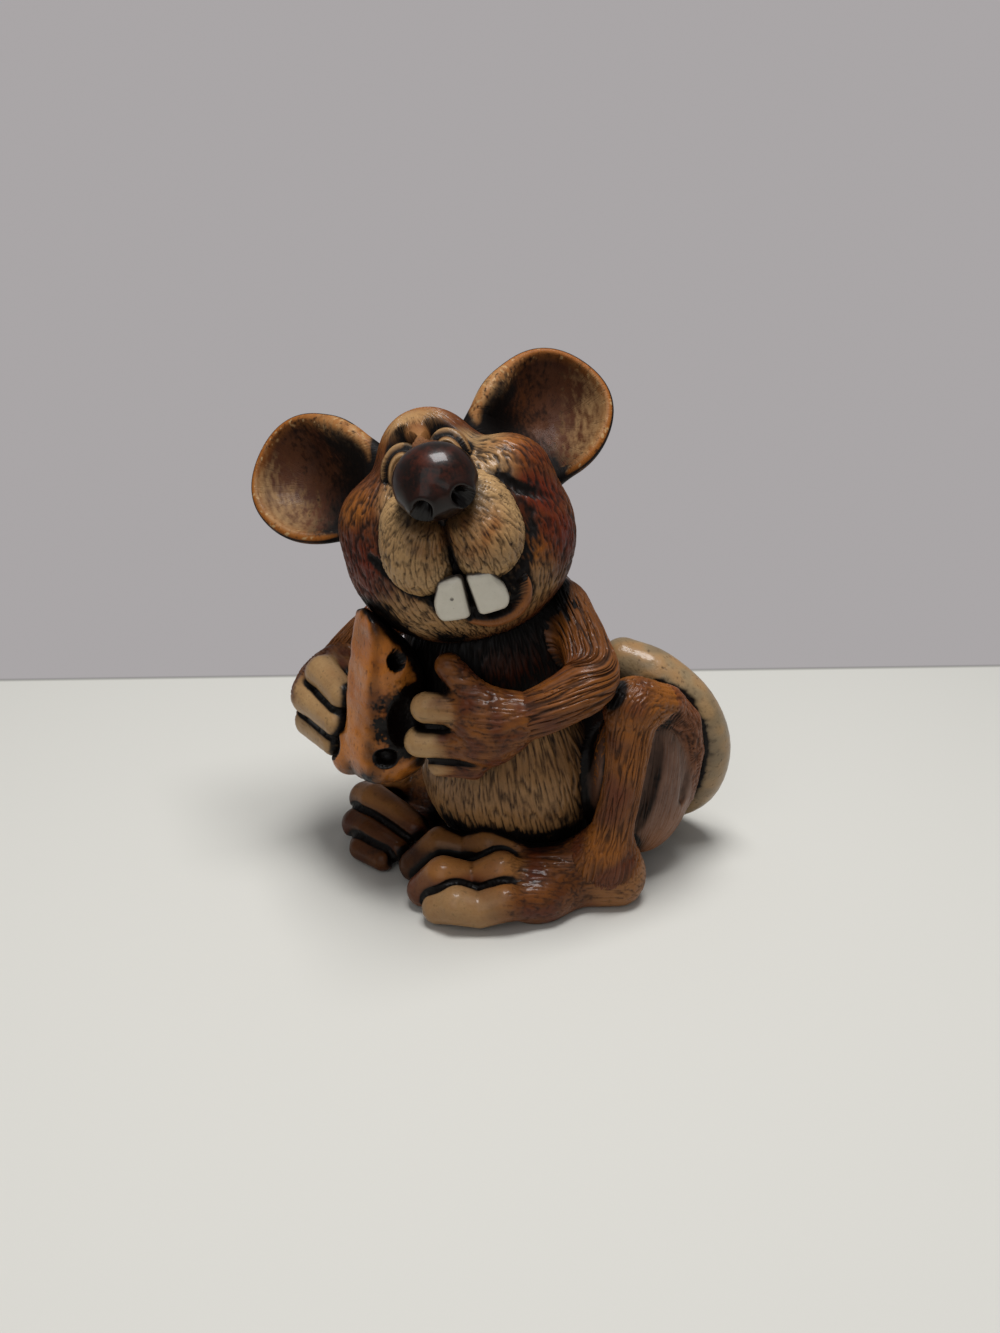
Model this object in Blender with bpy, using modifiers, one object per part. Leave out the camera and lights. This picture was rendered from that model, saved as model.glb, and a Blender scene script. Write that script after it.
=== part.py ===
"""A seated rat figurine hugging a wedge of cheese, built from the masses a modeller makes and joins.

The rat faces -Y, its left side is +X, and it sits on z = 0. Lengths are in metres, angles in degrees.
Every piece yields to the pieces placed before it, so that neighbours meet with one small clearance.
"""

import math

import bmesh
import bpy
from mathutils import Matrix, Vector

MM = 0.001

# Clearance between two pieces that are joined on the real figurine
SEAM = 0.3 * MM

# Place of the torso's axis, so that the whole figurine is centred on the origin
ROOT = (2.11 * MM, 3.98 * MM)

# Torso: belly, rump, chest and shoulders, with fillings at the waist
BELLY_WIDTH = 48 * MM
BELLY_DEPTH = 50 * MM
BELLY_HEIGHT = 48 * MM
BELLY_SINK = 1 * MM
RUMP_WIDTH = 42 * MM
RUMP_DEPTH = 36 * MM
RUMP_HEIGHT = 30 * MM
RUMP_SETBACK = 9 * MM
CHEST_WIDTH = 33 * MM
CHEST_DEPTH = 37 * MM
CHEST_HEIGHT = 42 * MM
CHEST_LEAN = 9 * MM
CHEST_OVERLAP = 19 * MM
SHOULDER_WIDTH = 38 * MM
SHOULDER_DEPTH = 28 * MM
SHOULDER_HEIGHT = 40 * MM
FRONT_WAIST_DROP = 10 * MM
BACK_WAIST_DROP = 4 * MM
BACK_WAIST_SETBACK = 0.5 * MM

# Head, turned to its left, lifted and tilted
HEAD_WIDTH = 49 * MM
HEAD_HEIGHT = 43 * MM
HEAD_DEPTH = 42 * MM
HEAD_TURN = 44
HEAD_LIFT = 36
HEAD_TILT = 17
HEAD_ASIDE = -2.3 * MM
NECK_LEAN = 7.5 * MM
NECK_OVERLAP = 11.5 * MM
BROW_WIDTH = 22 * MM
BROW_HEIGHT = 22 * MM
BROW_DEPTH = 26 * MM
BROW_ASIDE = -2.5 * MM
BROW_OVERLAP = 18 * MM
SNOUT_RADIUS = 7.5 * MM
SNOUT_LENGTH = 7 * MM
SNOUT_RISE = 3 * MM
SNOUT_END_RISE = 1 * MM
SKULL_DROP = 2 * MM

# Nose ball at the end of the snout
NOSE_WIDTH = 15.6 * MM
NOSE_HEIGHT = 14.6 * MM
NOSE_DEPTH = 14 * MM
NOSTRIL = 2.6 * MM
NOSE_ASIDE = 0.9 * MM
NOSE_RISE = 0.3 * MM

# Smiling cheeks, in shares of the head's sizes: where each one sits and how large it is
CHEEKS = (
    ((0.253, 0.149, 0.157), (0.404, 0.419, 0.524)),
    ((-0.286, 0.070, 0.179), (0.367, 0.395, 0.381)),
)

# Crease of the smile beside the left pad, in shares of the head's sizes
SMILE_CREASE = ((0.192, 0.130, 0.452), (0.231, 0.084, 0.448), (0.298, 0.009, 0.410), (0.400, -0.033, 0.319))
SMILE_RADIUS = 1.7 * MM

# Whisker pads, jaw, mouth and incisors
PAD_WIDTH = 16.5 * MM
PAD_HEIGHT = 19 * MM
PAD_DEPTH = 16 * MM
PAD_APART = 13.5 * MM
PAD_DROP = 7.5 * MM
PAD_OVERLAP = 12.5 * MM
PAD_STRIP_RADIUS = 5.5 * MM
PAD_STRIP_LENGTH = 11 * MM
JAW_WIDTH = 34 * MM
JAW_HEIGHT = 17 * MM
JAW_DEPTH = 30 * MM
JAW_OVERLAP = 7.5 * MM
MOUTH_WIDTH = 22 * MM
MOUTH_HEIGHT = 7 * MM
MOUTH_DEPTH = 12 * MM
TOOTH_WIDTH = 6.8 * MM
TOOTH_HEIGHT = 9.5 * MM
TOOTH_THICKNESS = 3 * MM
TOOTH_ASIDE = 1.7 * MM
TOOTH_SLOPE = 48
TOOTH_SPLAY = 8

# Shut eyes in their sockets
EYE_WIDTH = 8.5 * MM
EYE_HEIGHT = 7 * MM
EYE_APART = 11.5 * MM
EYE_DROP = 10 * MM
EYE_INSET = 6 * MM
SOCKET_MARGIN = 1.6 * MM

# Ears: dished shells, each at its own place round the head
EAR_WIDTH = 30 * MM
EAR_HEIGHT = 30 * MM
EAR_DISH = 8 * MM
EAR_THICKNESS = 2.6 * MM
EAR_TOE_IN = 12
EAR_FORWARD = 2.5 * MM
LEFT_EAR_ANGLE = 42.5
LEFT_EAR_OVERLAP = 8 * MM
RIGHT_EAR_ANGLE = 146.5
RIGHT_EAR_OVERLAP = 4.8 * MM

# Arms, from the shoulders round to the hands in front
ARM_RADIUS = 5.4 * MM
ELBOW_RADIUS = 6.2 * MM
WRIST_RADIUS = 4.8 * MM
SHOULDER_DROP = 5 * MM
LEFT_ELBOW = (12.8 * MM, -7 * MM, -11 * MM)
RIGHT_ELBOW = (14.5 * MM, -11 * MM, -9 * MM)
LEFT_WRIST = (4.5 * MM, -23 * MM, -19.5 * MM)
RIGHT_WRIST = (13 * MM, -39.5 * MM, -24.5 * MM)

# Hands
PALM_WIDTH = 8.5 * MM
PALM_LENGTH = 13 * MM
PALM_HEIGHT = 16 * MM
LEFT_FINGER_HEIGHTS = (4.9 * MM, -3 * MM, -8.2 * MM)
LEFT_FINGER_LENGTHS = (9.6 * MM, 11.2 * MM, 7 * MM)
LEFT_FINGER_RADII = (3.5 * MM, 3.6 * MM, 2.9 * MM)
RIGHT_FINGER_HEIGHTS = (8.4 * MM, 1.8 * MM, -4.8 * MM)
RIGHT_FINGER_LENGTHS = (12 * MM, 13 * MM, 12 * MM)
RIGHT_FINGER_RADII = (3.7 * MM, 3.9 * MM, 3.7 * MM)
THUMB_RADIUS = 2.7 * MM
THUMB_LENGTH = 9 * MM
LEFT_FINGERS_AIM = 42
RIGHT_FINGERS_AIM = 82
LEFT_FINGERS_FALL = 0
RIGHT_FINGERS_FALL = 18

# Cheese wedge, held point up between the hands
CHEESE_WIDTH = 15.5 * MM
CHEESE_DEPTH = 19 * MM
CHEESE_HEIGHT = 34 * MM
CHEESE_EDGE = 2.2 * MM
CHEESE_PLACE = (-1.6 * MM, -35 * MM)
CHEESE_DROP = 35.5 * MM
CHEESE_HOLE = 2.6 * MM

# The wedge's corners, told by right, back and top, in shares of its sizes from its middle
CHEESE_CORNERS = {
    (0, 0, 0): (-0.581, -0.547, -0.585),
    (1, 0, 0): (0.542, -0.579, -0.562),
    (0, 1, 0): (-0.516, 0.500, -0.529),
    (1, 1, 0): (0.632, 0.289, -0.529),
    (0, 0, 1): (-0.335, -0.184, 0.574),
    (1, 0, 1): (-0.052, -0.274, 0.588),
    (0, 1, 1): (-0.413, 0.463, 0.147),
    (1, 1, 1): (0.516, 0.453, 0.088),
}
CHEESE_HOLES = ((0.19, -0.07, 0.28), (0.5, -0.32, -0.32), (-0.43, -0.53, -0.37))

# Hind legs
THIGH_THICKNESS = 16 * MM
THIGH_LENGTH = 28 * MM
THIGH_HEIGHT = 42 * MM
THIGH_OVERLAP = 6 * MM
THIGH_SETBACK = 13.5 * MM
THIGH_LIFT = 5 * MM
KNEE_RADIUS = 5.7 * MM
KNEE_DROP = 1.5 * MM
SHIN_RADIUS = 4.3 * MM
ANKLE_RADIUS = 5.2 * MM
SHIN_OUT = 5.5 * MM
SHIN_FORWARD = 12.5 * MM
FOOT_WIDTH = 25 * MM
FOOT_HEIGHT = 12 * MM
HEEL_RADIUS = 6.5 * MM
HEEL_SPREAD = 25 * MM
HEEL_HEIGHT = 18.2 * MM
TOE_RADIUS = 4.5 * MM
LEFT_FOOT_LENGTH = 49 * MM
LEFT_FOOT_TOE_IN = 37
RIGHT_FOOT_LENGTH = 41 * MM
RIGHT_FOOT_TOE_IN = 22

# Arch of the haunch over the knee, and the slot behind the shin, in shares of the thigh's sizes
ARCH = ((0.238, -0.232, 0.476), (0.312, 0.018, 0.443), (0.288, 0.250, 0.298))
ARCH_RADIUS = 4.6 * MM
SLOT = ((0.538, -0.054, 0.419), (0.538, -0.132, 0.250), (0.538, -0.204, 0.033), (0.5, -0.268, -0.210))
SLOT_RADIUS = 2.8 * MM

# Toes from the inner one out, in shares of the foot's width, length and height and of the toe's radius
TOES = {
    "left": (
        (
            (-0.060, -0.388, 0.625, 1.067),
            (-0.072, -0.500, 0.817, 1.022),
            (-0.136, -0.633, 0.650, 0.911),
            (-0.184, -0.771, 0.717, 1.022),
            (-0.200, -0.910, 0.317, 0.822),
        ),
        (
            (0.200, -0.347, 0.517, 1.067),
            (0.240, -0.469, 0.658, 1.000),
            (0.184, -0.612, 0.517, 0.867),
            (0.208, -0.761, 0.608, 1.000),
            (0.144, -0.861, 0.308, 0.800),
        ),
        (
            (0.424, -0.327, 0.367, 1.022),
            (0.456, -0.449, 0.408, 0.956),
            (0.480, -0.592, 0.350, 0.889),
            (0.464, -0.700, 0.417, 0.956),
            (0.400, -0.788, 0.292, 0.756),
        ),
    ),
    "right": (
        (
            (-0.200, -0.415, 0.500, 1.022),
            (-0.256, -0.585, 0.700, 1.022),
            (-0.220, -0.732, 0.500, 0.889),
            (-0.040, -0.841, 0.333, 0.800),
        ),
        (
            (0.060, -0.415, 0.500, 1.022),
            (0.040, -0.659, 0.717, 1.022),
            (0.060, -0.805, 0.550, 0.889),
            (0.260, -0.890, 0.333, 0.800),
        ),
        (
            (0.300, -0.415, 0.500, 1.022),
            (0.340, -0.610, 0.750, 1.022),
            (0.420, -0.744, 0.617, 0.933),
            (0.560, -0.841, 0.333, 0.822),
        ),
    ),
}

# Tail, curled up beside the left haunch
TAIL_ROOT_RADIUS = 6.0 * MM
TAIL_TIP_RADIUS = 5.2 * MM
TAIL_RISE = 8 * MM
TAIL_CURL_WIDTH = 26 * MM
TAIL_CURL_HEIGHT = 37.6 * MM

# The tail's line from its root, in shares of the curl's width, width and height
TAIL_LINE = (
    (0.000, 0.000, -0.027),
    (0.500, 0.173, 0.000),
    (0.865, 0.242, 0.186),
    (1.000, 0.231, 0.492),
    (0.904, 0.100, 0.766),
    (0.635, -0.092, 0.941),
    (0.365, -0.250, 1.000),
)

# How finely the joined masses are meshed before they are thinned
GRAIN = 1.6 * MM

# Heights and reaches that follow from the sizes above
BELLY_RISE = BELLY_HEIGHT / 2 - BELLY_SINK
BELLY_TOP = BELLY_RISE + BELLY_HEIGHT / 2
CHEST_RISE = BELLY_TOP + CHEST_HEIGHT / 2 - CHEST_OVERLAP
CHEST_TOP = CHEST_RISE + CHEST_HEIGHT / 2
SHOULDER_RISE = CHEST_TOP - SHOULDER_HEIGHT / 2 + 1 * MM
HEAD_RISE = CHEST_TOP + HEAD_HEIGHT / 2 - NECK_OVERLAP
NOSE_REACH = HEAD_DEPTH / 2 + SNOUT_LENGTH
PAD_REACH = HEAD_DEPTH / 2 + PAD_DEPTH / 2 - PAD_OVERLAP
MOUTH_DROP = PAD_DROP + PAD_HEIGHT / 2 + MOUTH_HEIGHT / 8


def clear_scene():
    """Remove what the file opens with."""
    for obj in list(bpy.data.objects):
        bpy.data.objects.remove(obj, do_unlink=True)


def new_collection(name):
    """A collection under the scene's own."""
    made = bpy.data.collections.new(name)
    bpy.context.scene.collection.children.link(made)
    return made


def paint(name, colour, roughness):
    """A plain Principled material."""
    made = bpy.data.materials.new(name)
    made.use_nodes = True
    shader = made.node_tree.nodes["Principled BSDF"]
    shader.inputs["Base Color"].default_value = (*colour, 1.0)
    shader.inputs["Roughness"].default_value = roughness
    shader.inputs["Metallic"].default_value = 0.0
    return made


def frame_empty(name, matrix, parent=None):
    """An empty that carries the pieces of one region."""
    made = bpy.data.objects.new(name, None)
    figurine.objects.link(made)
    made.parent = parent
    made.matrix_world = matrix
    return made


def adopt(obj, name, collection):
    """Name a fresh object and move it to a collection."""
    obj.name = name
    for other in list(obj.users_collection):
        other.objects.unlink(obj)
    collection.objects.link(obj)
    return obj


def place(obj, at, parent=None, turn=(0, 0, 0)):
    """Put an object at a point of its parent's frame, turned by XYZ angles."""
    obj.parent = parent
    obj.location = at
    obj.rotation_euler = [math.radians(a) for a in turn]
    bpy.context.view_layer.update()
    return obj


def ball(name, size, at, parent=None, turn=(0, 0, 0), segments=24, rings=14):
    """An ellipsoid of three full sizes."""
    bpy.ops.mesh.primitive_uv_sphere_add(segments=segments, ring_count=rings, radius=0.5)
    obj = adopt(bpy.context.object, name, figurine)
    obj.data.transform(Matrix.Diagonal((*size, 1)))
    return place(obj, at, parent, turn)


def block(name, size, at, parent=None, turn=(0, 0, 0)):
    """A box of three full sizes."""
    bpy.ops.mesh.primitive_cube_add(size=1)
    obj = adopt(bpy.context.object, name, figurine)
    obj.data.transform(Matrix.Diagonal((*size, 1)))
    return place(obj, at, parent, turn)


def between(a, b, share):
    """The value part of the way from a to b, for numbers and points."""
    return a + (b - a) * share


def smooth_run(points, radii, steps=4):
    """Points and radii read from a Catmull-Rom curve through the given ones."""
    count = len(points)
    run = []
    for i in range(count - 1):
        ends = [points[max(i - 1, 0)], points[i], points[i + 1], points[min(i + 2, count - 1)]]
        for k in range(steps):
            t = k / steps
            weights = (
                -0.5 * t + t**2 - 0.5 * t**3,
                1 - 2.5 * t**2 + 1.5 * t**3,
                0.5 * t + 2 * t**2 - 1.5 * t**3,
                -0.5 * t**2 + 0.5 * t**3,
            )
            spot = sum((e * w for e, w in zip(ends, weights)), Vector())
            run.append((spot, between(radii[i], radii[i + 1], t)))
    run.append((points[-1], radii[-1]))
    return run


def rounded_ends(run):
    """The run with a dome of three rings on each end."""
    def dome(end, inner):
        spot, radius = end
        out = (spot - inner[0]).normalized()
        return [
            (spot + out * radius * math.sin(math.radians(a)), radius * math.cos(math.radians(a)))
            for a in (30, 60, 80)
        ]

    return dome(run[0], run[1])[::-1] + run + dome(run[-1], run[-2])


def limb(name, points, radii, parent=None, sides_level=3):
    """A tapered, round-ended tube through points, as a mesh."""
    run = rounded_ends(smooth_run([Vector(p) for p in points], radii))
    curve = bpy.data.curves.new(name + "_line", "CURVE")
    curve.dimensions = "3D"
    curve.bevel_depth = MM
    curve.bevel_resolution = sides_level
    curve.use_fill_caps = True
    spline = curve.splines.new("POLY")
    spline.points.add(len(run) - 1)
    for point, (spot, radius) in zip(spline.points, run):
        point.co = (*spot, 1)
        point.radius = radius / MM
    holder = bpy.data.objects.new(name + "_line", curve)
    figurine.objects.link(holder)
    return place(to_mesh(holder, name), (0, 0, 0), parent)


def to_mesh(obj, name):
    """A mesh object of the evaluated object, welded, which takes its place."""
    bpy.context.view_layer.update()
    graph = bpy.context.evaluated_depsgraph_get()
    mesh = bpy.data.meshes.new_from_object(obj.evaluated_get(graph))
    made = bpy.data.objects.new(name + "_made", mesh)
    made.parent = obj.parent
    made.matrix_world = obj.matrix_world
    figurine.objects.link(made)
    tidy = bmesh.new()
    tidy.from_mesh(mesh)
    bmesh.ops.remove_doubles(tidy, verts=tidy.verts, dist=0.01 * MM)
    bmesh.ops.recalc_face_normals(tidy, faces=tidy.faces)
    tidy.to_mesh(mesh)
    tidy.free()
    bpy.data.objects.remove(obj, do_unlink=True)
    made.name = name
    return made


def fused(name, shapes, thin=0.45, grain=None):
    """One skin over several masses: joined, remeshed, smoothed and thinned."""
    bpy.ops.object.select_all(action="DESELECT")
    for shape in shapes:
        shape.select_set(True)
    bpy.context.view_layer.objects.active = shapes[0]
    bpy.ops.object.join()
    obj = bpy.context.object
    obj.name = name
    skin = obj.modifiers.new("Skin", "REMESH")
    skin.mode = "VOXEL"
    skin.voxel_size = grain or GRAIN
    soften = obj.modifiers.new("Soften", "SMOOTH")
    soften.factor = 0.5
    soften.iterations = 4
    fewer = obj.modifiers.new("Fewer", "DECIMATE")
    fewer.ratio = thin
    return to_mesh(obj, name)


def as_cutter(obj):
    """Hide an object that only cuts."""
    for other in list(obj.users_collection):
        other.objects.unlink(obj)
    cutters.objects.link(obj)
    obj.hide_render = True
    obj.display_type = "WIRE"
    return obj


def swollen(obj):
    """A cutter with the object's shape, grown by the seam clearance."""
    graph = bpy.context.evaluated_depsgraph_get()
    mesh = bpy.data.meshes.new_from_object(obj.evaluated_get(graph))
    made = bpy.data.objects.new(obj.name + "_seat", mesh)
    made.matrix_world = obj.matrix_world
    figurine.objects.link(made)
    grow = made.modifiers.new("Grow", "DISPLACE")
    grow.strength = SEAM
    grow.mid_level = 0
    return as_cutter(made)


def cut(obj, cutter, operation="DIFFERENCE"):
    """One Boolean with a cutter object."""
    step = obj.modifiers.new(cutter.name, "BOOLEAN")
    step.operation = operation
    step.object = cutter
    step.solver = "EXACT"
    return obj


def world_box(obj):
    """Lowest and highest corner in the world."""
    graph = bpy.context.evaluated_depsgraph_get()
    corners = [obj.matrix_world @ Vector(c) for c in obj.evaluated_get(graph).bound_box]
    return [min(c[i] for c in corners) for i in range(3)], [max(c[i] for c in corners) for i in range(3)]


def seat(obj, material, claims=True):
    """Cut a piece back from the masses of the pieces before it, and let it claim its own mass."""
    bpy.context.view_layer.update()
    low, high = world_box(obj)
    own = swollen(obj) if claims else None
    for other in claimed:
        other_low, other_high = world_box(other)
        if all(low[i] < other_high[i] and other_low[i] < high[i] for i in range(3)):
            cut(obj, other)
    if low[2] < 0:
        cut(obj, ground)
    obj.data.materials.clear()
    obj.data.materials.append(material)
    obj = to_mesh(obj, obj.name)
    obj.data.shade_smooth()
    obj.data.set_sharp_from_angle(angle=math.radians(40))
    if own:
        claimed.append(own)
    return obj


def spread(shares, sizes, start=(0, 0, 0)):
    """Points given in shares of three sizes, counted from a start."""
    return [Vector([s + a * b for s, a, b in zip(start, share, sizes)]) for share in shares]


def head_matrix():
    """Frame of the head: x to the rat's left, y to the crown, z out of the nose."""
    turn, lift, tilt = (math.radians(a) for a in (HEAD_TURN, HEAD_LIFT, HEAD_TILT))
    forward = Vector(
        (math.sin(turn) * math.cos(lift), -math.cos(turn) * math.cos(lift), math.sin(lift))
    )
    crown = (Vector((0, 0, 1)) - forward * forward.z).normalized()
    left = crown.cross(forward)
    crown, left = (
        crown * math.cos(tilt) - left * math.sin(tilt),
        left * math.cos(tilt) + crown * math.sin(tilt),
    )
    turned = Matrix((left, crown, forward)).transposed().to_4x4()
    centre = (ROOT[0] + HEAD_ASIDE, ROOT[1] - CHEST_LEAN - NECK_LEAN, HEAD_RISE)
    return Matrix.Translation(centre) @ turned


def build_torso():
    """Belly, rump, chest and shoulders under one skin, standing flat on the ground."""
    shoulder_size = (SHOULDER_WIDTH, SHOULDER_DEPTH, SHOULDER_HEIGHT)
    shapes = [
        ball("belly", (BELLY_WIDTH, BELLY_DEPTH, BELLY_HEIGHT), (0, 0, BELLY_RISE), body),
        ball("rump", (RUMP_WIDTH, RUMP_DEPTH, RUMP_HEIGHT), (0, RUMP_SETBACK, RUMP_HEIGHT * 0.4), body),
        ball("chest", (CHEST_WIDTH, CHEST_DEPTH, CHEST_HEIGHT), (0, -CHEST_LEAN, CHEST_RISE), body),
        ball("shoulders", shoulder_size, (0, 0, SHOULDER_RISE), body),
        ball(
            "front_waist",
            (BELLY_WIDTH * 0.73, BELLY_DEPTH * 0.77, BELLY_HEIGHT * 0.25),
            (0, -CHEST_LEAN * 0.55, BELLY_TOP - FRONT_WAIST_DROP),
            body,
        ),
        ball(
            "back_waist",
            (SHOULDER_WIDTH * 0.95, SHOULDER_DEPTH * 1.08, SHOULDER_HEIGHT * 0.33),
            (0, BACK_WAIST_SETBACK, BELLY_TOP - BACK_WAIST_DROP),
            body,
        ),
    ]
    return seat(fused("torso", shapes, 0.13, GRAIN * 1.25), fur_brown)


def build_nose():
    """A ball with two nostrils pushed in from below."""
    nose_at = (NOSE_ASIDE, NOSE_RISE, NOSE_REACH)
    nose = ball("nose", (NOSE_WIDTH, NOSE_HEIGHT, NOSE_DEPTH), nose_at, head, rings=12)
    for side in (1, -1):
        nostril = ball(
            "nostril",
            (NOSTRIL * 2, NOSTRIL * 1.6, NOSTRIL * 3),
            (NOSE_ASIDE + side * NOSE_WIDTH * 0.27, -NOSE_HEIGHT * 0.33, NOSE_REACH + NOSE_DEPTH * 0.36),
            head,
            segments=10,
            rings=6,
        )
        cut(nose, as_cutter(nostril))
    return seat(nose, nose_black)


def build_pad(side, sign):
    """One whisker pad: a ball sunk in the face, with a strip that runs up beside the nose."""
    size = (PAD_WIDTH, PAD_HEIGHT, PAD_DEPTH)
    at = Vector((sign * PAD_APART / 2, -PAD_DROP, PAD_REACH))
    strip = [at + Vector((0, PAD_STRIP_LENGTH * 0.35, 0)), at + Vector((sign * MM, PAD_STRIP_LENGTH, -MM))]
    shapes = [
        ball("pad", size, at, head),
        limb("strip", strip, [PAD_STRIP_RADIUS, PAD_STRIP_RADIUS * 0.64], head),
    ]
    return seat(fused(side + "_whisker_pad", shapes, 0.25, GRAIN * 0.8), fur_cream)


def build_incisor(side, sign):
    """A rounded slab that hangs from under the whisker pads."""
    tooth = block(
        side + "_incisor",
        (TOOTH_WIDTH, TOOTH_HEIGHT, TOOTH_THICKNESS),
        (
            sign * (TOOTH_WIDTH / 2 + SEAM) + TOOTH_ASIDE,
            -PAD_DROP - PAD_HEIGHT / 2 - TOOTH_HEIGHT * 0.17,
            PAD_REACH - TOOTH_THICKNESS * 0.6,
        ),
        head,
        (TOOTH_SLOPE, 0, sign * TOOTH_SPLAY),
    )
    edge = tooth.modifiers.new("Edge", "BEVEL")
    edge.width = TOOTH_THICKNESS * 0.4
    edge.segments = 2
    return seat(tooth, tooth_white)


def eye_place(sign):
    """Centre of one shut eye in the head's frame."""
    return Vector(
        (
            sign * EYE_APART / 2 + BROW_ASIDE / 2,
            HEAD_HEIGHT / 2 - EYE_DROP,
            HEAD_DEPTH / 2 - EYE_INSET,
        )
    )


def build_eyelid(side, sign):
    """One shut eye, a ball that looks out of its socket."""
    size = (EYE_WIDTH, EYE_HEIGHT, EYE_HEIGHT)
    lid = ball(side + "_eyelid", size, eye_place(sign), head, segments=14, rings=8)
    return seat(lid, fur_brown)


def build_head():
    """Cheeks, brow and snout as the skull, and the jaw split off below the mouth."""
    skull_size = (HEAD_WIDTH, HEAD_HEIGHT, HEAD_DEPTH)
    brow_at = (BROW_ASIDE, (HEAD_HEIGHT + BROW_HEIGHT) / 2 - BROW_OVERLAP, BROW_DEPTH * 0.2)
    shapes = [
        ball("skull", skull_size, (0, -SKULL_DROP, 0), head),
        ball("brow", (BROW_WIDTH, BROW_HEIGHT, BROW_DEPTH), brow_at, head),
        limb(
            "snout",
            [(0, SNOUT_RISE, HEAD_DEPTH * 0.2), (0, SNOUT_END_RISE, NOSE_REACH - NOSE_DEPTH / 2)],
            [SNOUT_RADIUS, SNOUT_RADIUS * 0.8],
            head,
        ),
    ]
    for at, size in CHEEKS:
        shapes.append(ball("cheek", spread([size], skull_size)[0], spread([at], skull_size)[0], head))
    skull = fused("head", shapes, 0.13)
    mouth = as_cutter(
        ball(
            "mouth",
            (MOUTH_WIDTH, MOUTH_HEIGHT, MOUTH_DEPTH),
            (TOOTH_ASIDE, -MOUTH_DROP, PAD_REACH),
            head,
            segments=16,
            rings=8,
        )
    )
    jaw_at = (0, -(HEAD_HEIGHT + JAW_HEIGHT) / 2 + JAW_OVERLAP, HEAD_DEPTH * 0.2)
    jaw_zone = as_cutter(ball("jaw_zone", (JAW_WIDTH, JAW_HEIGHT, JAW_DEPTH), jaw_at, head))
    whole = swollen(skull)
    jaw = bpy.data.objects.new("jaw", skull.data.copy())
    figurine.objects.link(jaw)
    jaw.matrix_world = skull.matrix_world
    cut(jaw, jaw_zone, "INTERSECT")
    cut(jaw, mouth)
    cut(skull, swollen(jaw_zone))
    cut(skull, mouth)
    crease_radii = [SMILE_RADIUS * share for share in (0.5, 0.8, 1, 0.5)]
    cut(skull, as_cutter(limb("crease", spread(SMILE_CREASE, skull_size), crease_radii, head, 1)))
    for sign in (1, -1):
        socket_size = (EYE_WIDTH + SOCKET_MARGIN, EYE_HEIGHT + 2 * SOCKET_MARGIN, EYE_HEIGHT)
        socket_at = eye_place(sign) + Vector((0, SOCKET_MARGIN, SOCKET_MARGIN))
        cut(skull, as_cutter(ball("socket", socket_size, socket_at, head, segments=14, rings=8)))
    seat(skull, fur_rust, claims=False)
    seat(jaw, fur_cream, claims=False)
    claimed.append(whole)


def build_ear(side, angle, overlap, toe_in):
    """A dished shell: the deep part of a sphere, scaled and given a wall."""
    bpy.ops.mesh.primitive_uv_sphere_add(segments=24, ring_count=14, radius=0.5)
    obj = adopt(bpy.context.object, side + "_ear", figurine)
    trim = bmesh.new()
    trim.from_mesh(obj.data)
    above = [v for v in trim.verts if v.co.z > 0.05]
    bmesh.ops.delete(trim, geom=above, context="VERTS")
    trim.to_mesh(obj.data)
    trim.free()
    obj.data.transform(Matrix.Diagonal((EAR_WIDTH, EAR_HEIGHT, 2 * EAR_DISH, 1)))
    wall = obj.modifiers.new("Wall", "SOLIDIFY")
    wall.thickness = EAR_THICKNESS
    wall.offset = -1
    reach = (HEAD_WIDTH + EAR_WIDTH) / 2 - overlap
    turn = math.radians(angle)
    at = (reach * math.cos(turn), reach * math.sin(turn), EAR_FORWARD)
    place(obj, at, head, (0, toe_in, 0))
    return seat(to_mesh(obj, side + "_ear"), fur_rust)


def shoulder_place(sign):
    """Centre of one shoulder joint in the body's frame."""
    return Vector((sign * (CHEST_WIDTH / 2 - 0.5 * MM), 2 * MM, CHEST_TOP - SHOULDER_DROP))


def from_shoulder(sign, offset):
    """A point given by how far out, forward and up it lies from the shoulder."""
    return shoulder_place(sign) + Vector((sign * offset[0], offset[1], offset[2]))


def build_arm(side, sign, elbow_offset, wrist_offset):
    """Upper arm and forearm, meeting at the elbow."""
    shoulder = shoulder_place(sign)
    elbow = from_shoulder(sign, elbow_offset)
    wrist = from_shoulder(sign, wrist_offset)
    bulge = between(shoulder, elbow, 0.6) + Vector((sign * 2 * MM, 2 * MM, 1.5 * MM))
    radii = [ARM_RADIUS, ARM_RADIUS, ELBOW_RADIUS]
    seat(limb(side + "_upper_arm", [shoulder, bulge, elbow], radii, body), fur_rust)
    half = between(elbow, wrist, 0.5) + Vector((sign * 2 * MM, -0.5 * MM, 0))
    radii = [ELBOW_RADIUS * 0.96, between(ELBOW_RADIUS, WRIST_RADIUS, 0.7), WRIST_RADIUS]
    return seat(limb(side + "_forearm", [elbow, half, wrist], radii, body), fur_rust)


def build_cheese():
    """A wedge standing on its thick end, drawn in to a point, with round holes."""
    foot = CHEST_TOP - CHEESE_DROP - 4 * MM
    middle = (*CHEESE_PLACE, foot + CHEESE_HEIGHT / 2)
    size = (CHEESE_WIDTH, CHEESE_DEPTH, CHEESE_HEIGHT)
    obj = block("cheese", size, middle, body)
    for vertex in obj.data.vertices:
        corner = tuple(int(c > 0) for c in vertex.co)
        vertex.co = spread([CHEESE_CORNERS[corner]], size)[0]
    edge = obj.modifiers.new("Edge", "BEVEL")
    edge.width = CHEESE_EDGE
    edge.segments = 2
    hole_size = (CHEESE_HOLE * 2, CHEESE_HOLE * 2, CHEESE_HOLE * 2)
    for at in spread(CHEESE_HOLES, size, middle):
        cut(obj, as_cutter(ball("cheese_hole", hole_size, at, body, segments=12, rings=8)))
    return seat(obj, cheese_orange)


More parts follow.
